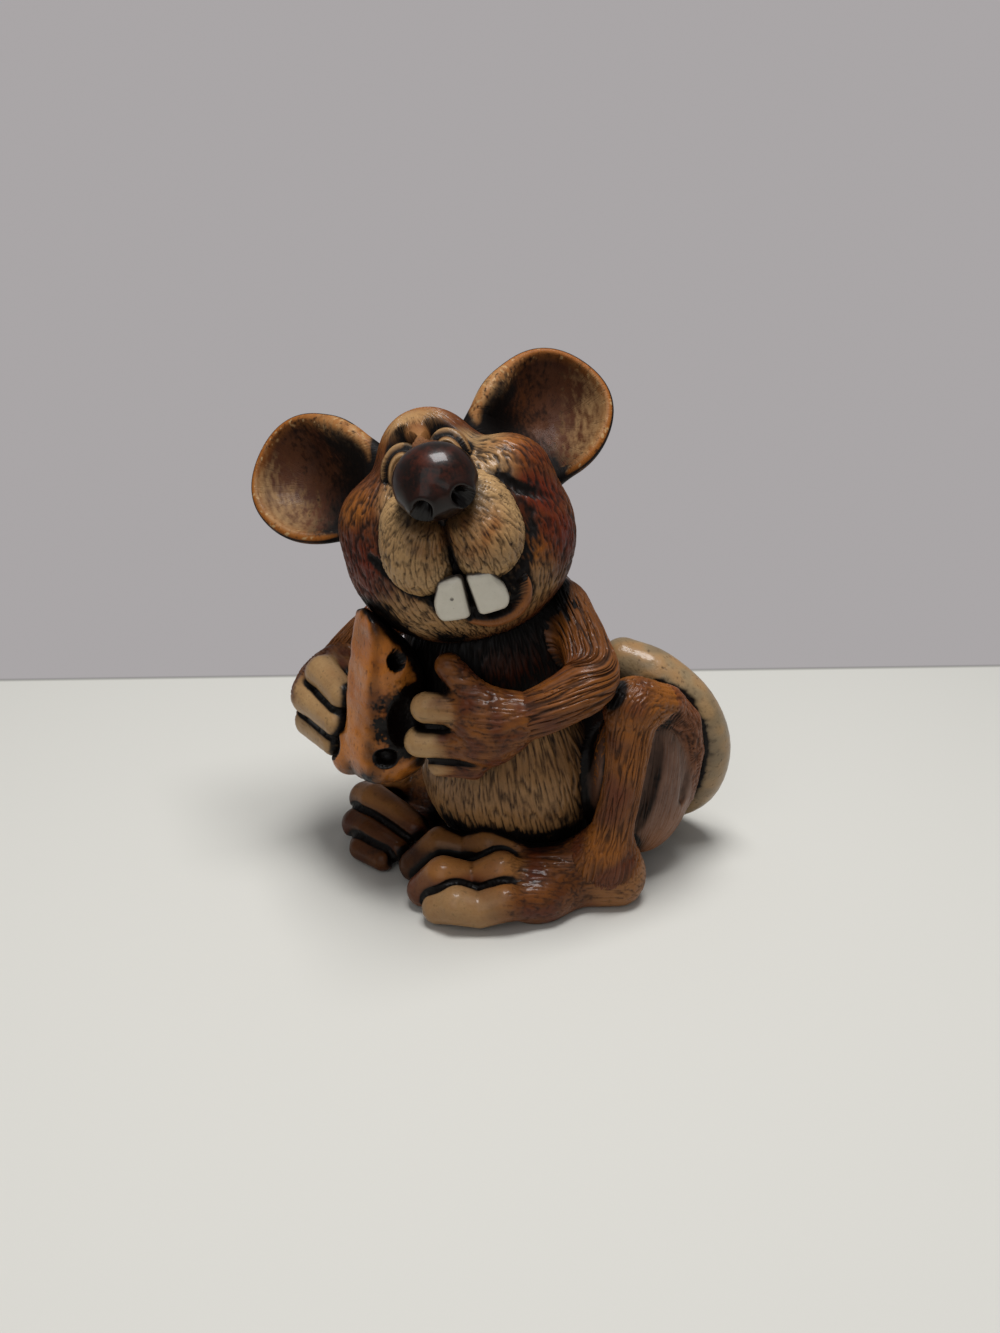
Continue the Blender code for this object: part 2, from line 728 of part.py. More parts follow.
def build_hand(side, sign, wrist_offset, aim, fall, fingers):
    """Palm, three fingers that point inwards over the cheese, and a thumb."""
    wrist = from_shoulder(sign, wrist_offset)
    turn = math.radians(aim)
    ahead = Vector((-sign * math.sin(turn), -math.cos(turn), 0))
    palm_at = wrist + ahead * PALM_LENGTH * 0.25 + Vector((0, -PALM_LENGTH * 0.15, -WRIST_RADIUS * 0.3))
    size = (PALM_WIDTH, PALM_LENGTH, PALM_HEIGHT)
    shapes = [ball("palm", size, palm_at, body, (0, 0, -sign * aim), segments=18, rings=10)]
    knuckle = palm_at + ahead * PALM_LENGTH * 0.12
    slope = ahead * math.cos(math.radians(fall)) - Vector((0, 0, math.sin(math.radians(fall))))
    for height, length, radius in zip(*fingers):
        start = knuckle + Vector((0, 0, height))
        shapes.append(limb("finger", [start, start + slope * length], [radius, radius * 0.92], body, 1))
    thumb_root = palm_at + Vector((0, 0, PALM_HEIGHT * 0.35))
    thumb_tip = thumb_root + ahead * THUMB_LENGTH * 0.55 + Vector((0, 0, THUMB_LENGTH * 0.84))
    shapes.append(limb("thumb", [thumb_root, thumb_tip], [THUMB_RADIUS * 1.1, THUMB_RADIUS], body, 1))
    return seat(fused(side + "_hand", shapes, 0.15, GRAIN * 0.6), paw_ochre)


def build_leg(side, sign, foot_length, toe_in):
    """Thigh, shin and foot of one hind leg."""
    thigh_at = Vector(
        (
            sign * (BELLY_WIDTH / 2 + THIGH_THICKNESS / 2 - THIGH_OVERLAP),
            THIGH_SETBACK,
            THIGH_HEIGHT / 2 + THIGH_LIFT,
        )
    )
    size = (THIGH_THICKNESS, THIGH_LENGTH, THIGH_HEIGHT)
    mirror = Vector((sign, 1, 1))
    arch = [thigh_at + p * mirror for p in spread(ARCH, size)]
    slot = [thigh_at + p * mirror for p in spread(SLOT, size)]
    shapes = [
        ball("haunch", size, thigh_at, body, (8, 0, 0)),
        limb("arch", arch, [ARCH_RADIUS, ARCH_RADIUS * 0.95, ARCH_RADIUS * 0.75], body),
    ]
    thigh = fused(side + "_thigh", shapes, 0.2)
    slot_radii = [SLOT_RADIUS * share for share in (0.4, 0.9, 1, 1)]
    cut(thigh, as_cutter(limb("slot", slot, slot_radii, body, 1)))
    seat(thigh, fur_rust)
    shin_out = sign * (abs(thigh_at.x) + SHIN_OUT)
    shin_y = thigh_at.y - SHIN_FORWARD
    knee = (shin_out - sign * MM, shin_y + 5 * MM, thigh_at.z + THIGH_HEIGHT / 2 - KNEE_DROP)
    ankle = (shin_out, shin_y - MM, FOOT_HEIGHT + 2 * MM)
    mid = (shin_out + sign * MM, shin_y + MM, between(knee[2], ankle[2], 0.5))
    shin = limb(side + "_shin", [knee, mid, ankle], [KNEE_RADIUS, SHIN_RADIUS, ANKLE_RADIUS], body)
    seat(shin, fur_rust)
    carrier = frame_empty(
        side + "_foot_frame",
        body.matrix_world
        @ Matrix.Translation((shin_out + sign * MM, shin_y + MM, 0))
        @ Matrix.Rotation(math.radians(-sign * toe_in), 4, "Z"),
        body,
    )
    shapes = [
        limb(
            "sole",
            [(0, 0, HEEL_RADIUS * 0.8), (0, -foot_length * 0.35, FOOT_HEIGHT * 0.45)],
            [HEEL_RADIUS, HEEL_RADIUS * 1.05],
            carrier,
        ),
        ball(
            "heel",
            (HEEL_RADIUS * 2, HEEL_SPREAD, HEEL_HEIGHT),
            (0, (HEEL_RADIUS - HEEL_SPREAD / 2) * 0.9, FOOT_HEIGHT * 0.8),
            carrier,
        ),
        ball(
            "instep",
            (FOOT_WIDTH * 0.86, foot_length * 0.5, FOOT_HEIGHT * 1.2),
            (0, -foot_length * 0.5, FOOT_HEIGHT * 0.36),
            carrier,
        ),
    ]
    for toe in TOES[side]:
        points = [p * mirror for p in spread([t[:3] for t in toe], (FOOT_WIDTH, foot_length, FOOT_HEIGHT))]
        shapes.append(limb("toe", points, [TOE_RADIUS * t[3] for t in toe], carrier, 1))
    return seat(fused(side + "_foot", shapes, 0.12, GRAIN * 0.8), paw_ochre)


def build_tail():
    """A thick tail from the rump, round to the left and up in an open curl."""
    root = RUMP_SETBACK + RUMP_DEPTH / 2
    curl = (TAIL_CURL_WIDTH, TAIL_CURL_WIDTH, TAIL_CURL_HEIGHT)
    points = spread(TAIL_LINE, curl, (0, root, TAIL_RISE))
    last = len(points) - 1
    radii = [between(TAIL_ROOT_RADIUS, TAIL_TIP_RADIUS, k / last) for k in range(last + 1)]
    return seat(limb("tail", points, radii, body, 2), tail_cream)


clear_scene()
figurine = new_collection("rat_figurine")
cutters = new_collection("cutters")
fur_brown = paint("fur_brown", (0.16, 0.07, 0.03), 0.38)
fur_rust = paint("fur_rust", (0.42, 0.15, 0.05), 0.35)
fur_cream = paint("fur_cream", (0.55, 0.42, 0.26), 0.4)
paw_ochre = paint("paw_ochre", (0.46, 0.24, 0.09), 0.35)
nose_black = paint("nose_black", (0.05, 0.025, 0.02), 0.25)
tooth_white = paint("tooth_white", (0.85, 0.85, 0.8), 0.3)
cheese_orange = paint("cheese_orange", (0.55, 0.22, 0.06), 0.3)
tail_cream = paint("tail_cream", (0.55, 0.47, 0.36), 0.35)
claimed = []
body = frame_empty("body_frame", Matrix.Translation((ROOT[0], ROOT[1], 0)))
head = frame_empty("head_frame", head_matrix(), body)
ground = as_cutter(block("ground", (0.3, 0.3, 0.05), (0, 0, -0.025)))

build_nose()
for name, sign in (("left", 1), ("right", -1)):
    build_pad(name, sign)
    build_incisor(name, sign)
    build_eyelid(name, sign)
build_head()
build_torso()
build_ear("left", LEFT_EAR_ANGLE, LEFT_EAR_OVERLAP, EAR_TOE_IN)
build_ear("right", RIGHT_EAR_ANGLE, RIGHT_EAR_OVERLAP, -EAR_TOE_IN)
build_arm("left", 1, LEFT_ELBOW, LEFT_WRIST)
build_arm("right", -1, RIGHT_ELBOW, RIGHT_WRIST)
build_cheese()
left_fingers = (LEFT_FINGER_HEIGHTS, LEFT_FINGER_LENGTHS, LEFT_FINGER_RADII)
right_fingers = (RIGHT_FINGER_HEIGHTS, RIGHT_FINGER_LENGTHS, RIGHT_FINGER_RADII)
build_hand("left", 1, LEFT_WRIST, LEFT_FINGERS_AIM, LEFT_FINGERS_FALL, left_fingers)
build_hand("right", -1, RIGHT_WRIST, RIGHT_FINGERS_AIM, RIGHT_FINGERS_FALL, right_fingers)
build_leg("left", 1, LEFT_FOOT_LENGTH, LEFT_FOOT_TOE_IN)
build_leg("right", -1, RIGHT_FOOT_LENGTH, RIGHT_FOOT_TOE_IN)
build_tail()
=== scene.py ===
"""A painted and varnished rat figurine, cast piece by piece round the frame of its CAD model.

Shapes are worked out in millimetres from the torso's axis: x to the rat's left, y to its back, z up.
"""

import math
from functools import reduce

import bpy
import numpy as np
from mathutils import Matrix, Vector


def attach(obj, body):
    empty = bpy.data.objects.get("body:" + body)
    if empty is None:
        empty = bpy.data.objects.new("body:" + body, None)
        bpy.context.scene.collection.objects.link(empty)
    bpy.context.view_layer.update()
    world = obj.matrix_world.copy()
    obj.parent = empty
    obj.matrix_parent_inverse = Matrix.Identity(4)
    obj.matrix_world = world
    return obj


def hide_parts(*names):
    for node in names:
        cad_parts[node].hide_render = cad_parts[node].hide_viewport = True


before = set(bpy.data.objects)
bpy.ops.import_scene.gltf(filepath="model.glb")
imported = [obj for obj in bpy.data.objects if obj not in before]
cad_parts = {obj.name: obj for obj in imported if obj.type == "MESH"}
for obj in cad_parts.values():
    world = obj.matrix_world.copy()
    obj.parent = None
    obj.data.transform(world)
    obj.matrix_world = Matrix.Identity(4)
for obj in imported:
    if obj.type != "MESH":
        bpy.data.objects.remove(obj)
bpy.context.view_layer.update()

# Torso
# A solid resin cast: belly, rump, chest and shoulders run into each other, and the fur is carved as
# long upright lines. It stands flat on the ground, and everything else is joined to it.
MM = 0.001
TORSO_AXIS = np.array((2.11, 3.98, 0.0))


def length(v):
    """Length of each vector."""
    return np.sqrt((v * v).sum(axis=-1))


def unit(v):
    """Each vector over its length."""
    return v / np.maximum(length(v), 1e-12)[..., None]


def ramp(value, low, high):
    """0 below one value, 1 above the other, and a smooth S between them."""
    share = np.clip((value - low) / (high - low), 0, 1)
    return share * share * (3 - 2 * share)


def ball(p, centre, radii):
    """Distance to an ellipsoid, nearly: the scaled length k, times k - 1, over the length of the slope."""
    q = (p - np.asarray(centre, float)) / np.asarray(radii, float)
    scaled = length(q)
    return scaled * (scaled - 1) / np.maximum(length(q / np.asarray(radii, float)), 1e-9)


def melt(a, b, reach):
    """The nearer of two distances, with a round fillet as wide as the reach."""
    overlap = np.clip(reach - np.abs(a - b), 0, None)
    return np.minimum(a, b) - overlap * overlap / (4 * reach)


def carve(a, b, reach):
    """Mass a less mass b, the edge rounded over the reach."""
    return -melt(-a, b, reach)


def noise(p, seed):
    """Gradient noise, about -0.7 to 0.7: a hash of a cell corner's place picks its slope, and a point
    takes the eight slopes in smooth shares."""
    cell = np.floor(p)
    inside = p - cell
    share = inside**3 * (inside * (inside * 6 - 15) + 10)
    cell = cell.astype(np.int64)
    slopes = unit(np.random.default_rng(seed).normal(size=(256, 3)))
    total = np.zeros(p.shape[:-1])
    for corner in np.ndindex(2, 2, 2):
        spot = cell + corner
        key = spot[..., 0] * 73856093 ^ spot[..., 1] * 19349663 ^ spot[..., 2] * 83492791
        key = (key ^ (key >> 13)) * 1274126177
        slope = slopes[(key ^ (key >> 16)) & 255]
        weight = np.prod(np.where(corner, share, 1 - share), axis=-1)
        total += weight * ((inside - corner) * slope).sum(axis=-1)
    return total


def cast(mass, line, radius, rows, columns, side):
    """Where rays leave a mass. They stand square on a line and fan out round its ends, and a point
    walks along its ray by the distance that the mass still gives. Returns the grid of points, the
    rays, each column's angle and each row's run."""
    line = np.asarray(line, float)
    run = np.concatenate([[0], np.cumsum(length(np.diff(line, axis=0)))])
    quarter = radius * math.pi / 2
    place = np.linspace(-quarter, run[-1] + quarter, rows)
    spot = np.clip(place, 0, run[-1])
    origin = np.stack([np.interp(spot, run, line[:, i]) for i in range(3)], axis=-1)
    slope = np.gradient(line, run, axis=0)
    along = unit(np.stack([np.interp(spot, run, slope[:, i]) for i in range(3)], axis=-1))
    side = np.asarray(side, float)
    across = unit(side - along * (along @ side)[:, None])
    third = np.cross(along, across)
    lean = ((place - spot) / radius)[:, None, None]
    angle = np.linspace(0, 2 * math.pi, columns, endpoint=False)
    turn = angle[None, :, None]
    square = np.cos(turn) * across[:, None] + np.sin(turn) * third[:, None]
    aim = np.cos(lean) * square + np.sin(lean) * along[:, None]
    out = np.full((rows, columns), 0.5)
    for _ in range(70):
        gap = mass(origin[:, None] + aim * out[..., None])
        out = np.maximum(out - np.clip(gap, -3, 3), 0.05)
        if np.abs(gap).max() < 0.003:
            break
    return origin[:, None] + aim * out[..., None], aim, angle, place


def facing(grid, aim):
    """The grid's normals, on the side that the rays leave by."""
    round_ring = np.roll(grid, -1, axis=1) - np.roll(grid, 1, axis=1)
    normal = np.cross(np.gradient(grid, axis=0), round_ring)
    normal = np.where(length(normal)[..., None] < 1e-6, aim, normal)
    return unit(normal * np.sign((normal * aim).sum(axis=-1) + 1e-12)[..., None])


def pressed(grid, aim, depth):
    """The grid sunk by a depth at each point, and its normals."""
    normals = facing(grid, aim)
    return grid - normals * depth[..., None], normals


def flat(grid):
    """A grid as a list of points, with each end row as one point."""
    return np.concatenate([grid[:1, 0], grid[1:-1].reshape(-1, *grid.shape[2:]), grid[-1:, 0]])


def net(rows, columns):
    """Faces over such a list: quads between neighbouring rows and a fan onto each end."""
    ring = np.arange(columns)
    after = np.roll(ring, -1)
    start = 1 + np.arange(rows - 3)[:, None] * columns
    quads = np.stack([start + ring, start + after, start + columns + after, start + columns + ring], axis=-1)
    last_row = 1 + (rows - 3) * columns
    tip = np.full(columns, last_row + columns)
    first_fan = np.stack([0 * ring, after + 1, ring + 1], axis=-1)
    last_fan = np.stack([tip, last_row + ring, last_row + after], axis=-1)
    return quads.reshape(-1, 4).tolist() + first_fan.tolist() + last_fan.tolist()


def round_flow(angle, place, radius, pitch, stretch):
    """Each grid point's place on a drum wound with fur, counted in hairs round it and along it."""
    turn, row = np.meshgrid(angle, place / (pitch * stretch))
    return np.stack([np.cos(turn) * radius / pitch, np.sin(turn) * radius / pitch, row], axis=-1)


def hair_lines(flow, seed, dashes=0.0, width=0.26):
    """1 in a carved hair line and 0 beside it. Lines are where noise drawn out along the hair passes
    through zero, bent by slower noise, and dashes are where it is highest."""
    wander = noise(flow * (0.31, 0.31, 0.9), seed) + 0.45 * noise(flow * (0.9, 0.9, 2.6), seed + 3)
    bent = flow + wander[..., None] * (0.8, 0.8, 0.0)
    first = noise(bent, seed + 1)
    second = noise(bent * (1.7, 1.7, 1.5) + 7.3, seed + 2)
    lines = 1 - ramp(np.abs(first), 0.02, width) + 0.45 * (1 - ramp(np.abs(second), 0.02, width + 0.04))
    cuts = ramp(first, 0.1, 0.38) + 0.6 * ramp(second, 0.14, 0.4)
    return np.clip(lines * (1 - dashes) + cuts * dashes, 0, 1.2)


class Socket:
    """A node's output in arithmetic: each operator adds the Math node that works it out."""

    def __init__(self, sheet, output):
        self.sheet = sheet
        self.output = output

    def maths(self, operation, *values):
        return self.sheet.add("ShaderNodeMath", {"operation": operation}, dict(enumerate(values)))

    __add__ = __radd__ = lambda self, other: self.maths("ADD", self, other)
    __mul__ = __rmul__ = lambda self, other: self.maths("MULTIPLY", self, other)
    __sub__ = lambda self, other: self.maths("SUBTRACT", self, other)
    __rsub__ = lambda self, other: self.maths("SUBTRACT", other, self)
    __pow__ = lambda self, other: self.maths("POWER", self, other)
    __abs__ = lambda self: self.maths("ABSOLUTE", self)

    def kept(self):
        """The value held between 0 and 1."""
        return self.maths("MAXIMUM", self.maths("MINIMUM", self, 1.0), 0.0)


class Sheet:
    """One material's nodes, laid out by the place on the object."""

    def __init__(self, name):
        self.material = bpy.data.materials.new(name)
        self.material.use_nodes = True
        self.tree = self.material.node_tree
        self.shader = self.tree.nodes["Principled BSDF"]
        self.place = self.add("ShaderNodeTexCoord", {}, {}, "Object")

    def fill(self, node, values):
        """Set or link a node's inputs by name or number."""
        for key, value in values.items():
            if isinstance(value, Socket):
                self.tree.links.new(value.output, node.inputs[key])
            else:
                node.inputs[key].default_value = value

    def add(self, kind, settings, values, output=0):
        """A node of a kind, settings first and then inputs, as the socket of one output."""
        node = self.tree.nodes.new(kind)
        for key, value in settings.items():
            setattr(node, key, value)
        self.fill(node, values)
        return Socket(self, node.outputs[output])

    def blend(self, share, first, second):
        """One colour over another by a share."""
        settings = {"data_type": "RGBA", "blend_type": "MIX"}
        return self.add("ShaderNodeMix", settings, {0: share, 6: first, 7: second}, 2)

    def mottle(self, vector, scale, detail=3.0):
        """Noise from 0 to 1 at a scale."""
        values = {"Vector": vector, "Scale": scale, "Detail": detail, "Roughness": 0.55}
        return self.add("ShaderNodeTexNoise", {}, values, "Fac")

    def held(self, name, output="Fac"):
        """An attribute that the mesh carries."""
        return self.add("ShaderNodeAttribute", {"attribute_name": name}, {}, output)

    def finish(self, values):
        """Fill the shader's inputs, and give the material."""
        self.fill(self.shader, values)
        return self.material


CREAM_PAINT = (0.38, 0.23, 0.10, 1)
OCHRE_PAINT = (0.26, 0.085, 0.011, 1)
RED_PAINT = (0.105, 0.012, 0.002, 1)
STAIN_AND_SHADE_BROWN = (0.016, 0.005, 0.002, 1)
WASH_AND_SHADE_BLACK = (0.003, 0.0015, 0.001, 1)


def glazed(name, base, deep, hair=0.6, roughness=0.42, coat=0.2, grime=0.5):
    """Paint under varnish: a mottled base, airbrushed ochre, red and cream where the mesh says, dark
    stain held in the carved lines, and near-black in the hollows and creases that is partly dark wash and
    partly painted shade."""
    sheet = Sheet(name)
    broad = sheet.mottle(sheet.place, 140.0)
    speck = sheet.mottle(sheet.place, 900.0, 4.0)
    flow = sheet.held("flow", "Vector")
    strokes = sheet.mottle(flow, 2.6, 2.0)
    carved = sheet.held("groove")
    colour = sheet.blend(((broad - 0.35) * 2.2).kept(), (*base, 1), (*deep, 1))
    for paint, held in ((OCHRE_PAINT, "ochre"), (RED_PAINT, "red"), (CREAM_PAINT, "cream")):
        share = sheet.held(held)
        uneven = share * (0.5 + 1.0 * broad + 0.7 * (speck - 0.5))
        colour = sheet.blend(uneven.kept(), colour, paint)
    scratch = ((strokes - 0.5) * 3.4).kept()
    # On the ears the carved-line attribute also carries the painted shade of the bowl, so there this dark is
    # painted shade.
    stain_and_shade = (carved * 0.9 + scratch * 0.45) * hair + (speck - 0.6) * grime * 2.4
    colour = sheet.blend(stain_and_shade.kept(), colour, STAIN_AND_SHADE_BROWN)
    patchy = sheet.mottle(sheet.place, 260.0, 4.0)
    # Near-black over it all: the wash attribute is partly dark wash and partly painted shade in the hollows,
    # the random patches are grime, and the other attribute added to it is mostly painted shade in creases and
    # slots, with some dark paint.
    wash_and_shade = sheet.held("wash_and_shade") * (0.55 + 1.0 * patchy) + ((patchy - 0.6) * grime * 1.6).kept()
    wash_and_shade = (wash_and_shade + sheet.held("soot")).kept()
    colour = sheet.blend(wash_and_shade, colour, WASH_AND_SHADE_BLACK)
    bump = {"Strength": 0.4, "Distance": 0.0002, "Height": speck * 0.35 - scratch * hair}
    return sheet.finish({
        "Base Color": colour,
        "Roughness": (roughness + 0.25 * carved + 0.3 * (speck - 0.5)).kept(),
        "Normal": sheet.add("ShaderNodeBump", {}, bump, "Normal"),
        "Coat Weight": coat * (1.0 - wash_and_shade),
        "Coat Roughness": 0.12,
        "Specular IOR Level": 0.16,
    })


pieces = []
masses = []


def piece(node, slot, material, points, normals, faces, flow, groove, mass, **paints):
    """A mesh in place of a CAD node, with its attributes, and its mass noted for the wash and painted shade.
    """
    corners = np.array([face[:3] for face in faces[:: max(1, len(faces) // 4000)]])
    spread = points[corners] - points.mean(axis=0)
    if np.linalg.det(spread).sum() < 0:
        faces = [face[::-1] for face in faces]
    mesh = bpy.data.meshes.new(node + "_cast")
    mesh.from_pydata((points + TORSO_AXIS) * MM, [], faces)
    mesh.shade_smooth()
    values = {"groove": groove, "cream": 0, "ochre": 0, "red": 0, "soot": 0, **paints}
    for name, value in values.items():
        attribute = mesh.attributes.new(name, "FLOAT", "POINT")
        attribute.data.foreach_set("value", np.broadcast_to(value, len(points)).astype(np.float32))
    attribute = mesh.attributes.new("flow", "FLOAT_VECTOR", "POINT")
    attribute.data.foreach_set("vector", flow.astype(np.float32).ravel())
    mesh.materials.append(material)
    made = bpy.data.objects.new(node + "_cast", mesh)
    bpy.context.scene.collection.objects.link(made)
    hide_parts(node)
    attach(made, "root")
    pieces.append((made, points, normals))
    masses.append((mass, points.min(axis=0), points.max(axis=0)))
    return made


def grid_piece(node, slot, material, grid, normals, flow, groove, mass, **paints):
    """A piece from a cast grid and what goes with each of its points."""
    paints = {name: flat(value) if np.ndim(value) else value for name, value in paints.items()}
    lists = flat(grid), flat(normals), net(*grid.shape[:2]), flat(flow), flat(groove)
    return piece(node, slot, material, *lists, mass, **paints)


def torso_mass(p):
    """Belly and rump, chest and shoulders."""
    low = melt(ball(p, (0, 0, 23), (24, 25, 24)), ball(p, (0, 9, 12), (21, 18, 15)), 5)
    high = melt(ball(p, (0, -9, 49), (16.5, 18.5, 21)), ball(p, (0, 0, 51), (19, 14, 20)), 5)
    return melt(melt(low, high, 6), ball(p, (-7.5, -13, 54), (11, 13, 12)), 5)


TORSO_LINE = [(0, 4, 16), (0, -1, 34), (0, -5, 52)]
TORSO_RADIUS = 23
grid, aim, angle, place = cast(torso_mass, TORSO_LINE, TORSO_RADIUS, 165, 560, (0, 1, 0))
flow = round_flow(angle, place, TORSO_RADIUS, 1.0, 8.0)
groove = hair_lines(flow, 11, 0.1, 0.18)
grid, normals = pressed(grid, aim, groove * 0.28)
height = np.maximum(grid[..., 2], 0)
grid[..., 2] = height
front = -normals[..., 1] * 0.9 + normals[..., 0] * 0.25
belly = ramp(front, -0.1, 0.55) * (1 - ramp(height, 38, 47)) * ramp(height, 6, 12)
fur_brown = glazed("fur_brown", (0.060, 0.017, 0.005), (0.026, 0.007, 0.003), hair=0.7)
grid_piece(
    "torso", "fur_brown", fur_brown, grid, normals, flow, groove, torso_mass,
    cream=belly * 0.48, ochre=belly * 0.6, red=ramp(height, 40, 50) * (1 - ramp(height, 52, 60)) * 0.25,
    # Near-black painted shade at the top under the chin, and at the foot by the ground.
    soot=np.maximum(ramp(height, 52, 60), 1 - ramp(height, 5, 10)) * 0.8,
)

# Head
# One resin ball with a low brow and a short snout, turned to the rat's left, lifted and tilted. Two
# arched sockets are pressed in under the brow, and the left cheek is pushed up over a crease.
HEAD_CENTRE = np.array((-2.3, -16.5, 80.0))
HEAD_TURN, HEAD_LIFT, HEAD_TILT = math.radians(44), math.radians(36), math.radians(17)
EYES = {"left": ((2.9, 10.6, 15.6), (4.5, 5.6, 3.4)), "right": ((-6.2, 9.6, 15.4), (5.0, 5.7, 3.4))}
FUR_POLE = (-3.0, 20.0, 11.0)
HEAD_RADIUS = 21.5


def head_axes():
    """Rows of the head's frame: to its left, to its crown, and out of its nose."""
    level = math.cos(HEAD_LIFT)
    nose = np.array((math.sin(HEAD_TURN) * level, -math.cos(HEAD_TURN) * level, math.sin(HEAD_LIFT)))
    crown = unit(np.array((0, 0, 1)) - nose * nose[2])
    left = np.cross(crown, nose)
    c, s = math.cos(HEAD_TILT), math.sin(HEAD_TILT)
    return np.array((left * c + crown * s, crown * c - left * s, nose))


HEAD_AXES = head_axes()


def in_head(p):
    """Points of the torso's frame in the head's."""
    return (p - HEAD_CENTRE) @ HEAD_AXES.T


def from_head(q):
    """Points of the head's frame in the torso's."""
    return HEAD_CENTRE + q @ HEAD_AXES


def rod(p, start, end, start_radius, end_radius):
    """Distance to a round-ended rod whose radius changes evenly."""
    start, end = np.asarray(start, float), np.asarray(end, float)
    run = end - start
    share = np.clip((p - start) @ run / (run @ run), 0, 1)
    return length(p - start - share[..., None] * run) - start_radius - (end_radius - start_radius) * share


def path(p, points, radii):
    """Distance to rods laid end to end."""
    nearest = np.full(p.shape[:-1], 1e3)
    for i in range(len(points) - 1):
        nearest = np.minimum(nearest, rod(p, points[i], points[i + 1], radii[i], radii[i + 1]))
    return nearest


def smooth_line(points, radii, steps=5):
    """Points and radii on the Catmull-Rom curve through a few of each."""
    given = np.column_stack([np.asarray(points, float), radii])
    held = np.vstack([2 * given[0] - given[1], given, 2 * given[-1] - given[-2]])
    t = (np.arange(steps) / steps)[:, None]
    spans = [
        0.5 * (2 * b + (c - a) * t + (2 * a - 5 * b + 4 * c - d) * t**2 + (3 * b - a - 3 * c + d) * t**3)
        for a, b, c, d in zip(held, held[1:], held[2:], held[3:])
    ]
    curve = np.vstack([*spans, given[-1:]])
    return curve[:, :3], curve[:, 3]


def jaw_zone(q):
    """Where the lower jaw begins, in the head's frame."""
    return ball(q, (0, -22.5, 8.4), (17, 8.5, 15))


SMILE_CREASE = [(9.4, 5.6, 19.0), (11.3, 3.6, 18.8), (14.6, 0.4, 17.2), (19.6, -1.2, 13.4), (22.4, -1.2, 9.5)]
SMILE_RADII = [0.2, 0.8, 1.3, 1.1, 0.2]
BRIDGE_LINE = [(-3.0, 18.5, 14.2), (-2.2, 12, 18.6), (0.4, 5, 24)]
PAD_CREASE = [(14.6, -1.5, 17.4), (16.2, -6, 15.9), (15.6, -11, 14.6), (12.5, -15.3, 13.6), (8, -17.6, 14.2)]
MOUTH_LINE = [(-16.4, -6.5, 14.4), (-12.6, -11.3, 15.4), (-8.2, -15.6, 15.1), (-3.5, -18, 14)]
MOUTH_RADII = [0.1, 0.6, 1.1, 1.8]


def face_mass(q):
    """Cheeks, brow, snout and nose bridge, with sockets, mouth and creases cut."""
    whole = melt(ball(q, (0, -2, 0), (24.5, 21.5, 21)), ball(q, (-2.5, 14.5, 5.2), (11, 11, 13)), 4)
    whole = melt(whole, rod(q, (0, 3, 8.4), (0, 1, 21), 7.5, 6), 4)
    whole = melt(whole, ball(q, (12.4, 6.4, 6.6), (9.9, 9.0, 11.0)), 2.0)
    whole = melt(whole, ball(q, (-14, 3.0, 7.5), (9, 8.5, 8)), 4)
    for centre, radii in EYES.values():
        whole = carve(whole, ball(q, np.add(centre, (0, 2.4, 2.0)), np.add(radii, (0.5, 0.6, 0.2))), 1.2)
    whole = melt(whole, path(q, BRIDGE_LINE, [1.9, 2.7, 5.2]), 1.4)
    whole = carve(whole, path(q, SMILE_CREASE, SMILE_RADII), 0.6)
    whole = carve(whole, path(q, PAD_CREASE, [0.5, 1.6, 1.8, 2.0, 2.3]), 1.8)
    whole = carve(whole, path(q, MOUTH_LINE, MOUTH_RADII), 1.8)
    return carve(whole, ball(q, (1.7, -17.9, 16.5), (10, 3.3, 6)), 1.5)


def head_mass(q):
    """The face, sunk a little where the jaw lies over it."""
    return face_mass(q) + 0.5 * ramp(-jaw_zone(q), 1.5, 2.5)


def spread_flow(q, hub, pole, radius, pitch, stretch):
    """Hairs that run away from a pole like meridians."""
    pole = unit(np.asarray(pole, float))
    side = unit(np.cross(pole, (0.2, 0.1, 1.0)))
    v = q - np.asarray(hub, float)
    angle = np.arctan2(v @ np.cross(pole, side), v @ side)
    away = np.arccos(np.clip(v @ pole / np.maximum(length(v), 1e-6), -1, 1)) * radius
    reach = radius / pitch
    return np.stack([np.cos(angle) * reach, np.sin(angle) * reach, away / (pitch * stretch)], axis=-1)


def head_flow(q):
    """Out from the brow, over the cheeks and down to the chin."""
    return spread_flow(q, (0, -2, 0), FUR_POLE, HEAD_RADIUS, 0.9, 5.0)


def most(*masks):
    """The greatest of several masks at each point."""
    return reduce(np.maximum, masks)


def near(q, centre, reach):
    """1 at a spot of the face, and 0 beyond its reach."""
    return 1 - ramp(length((q - np.asarray(centre, float)) / np.asarray(reach, float)), 0.25, 1.0)


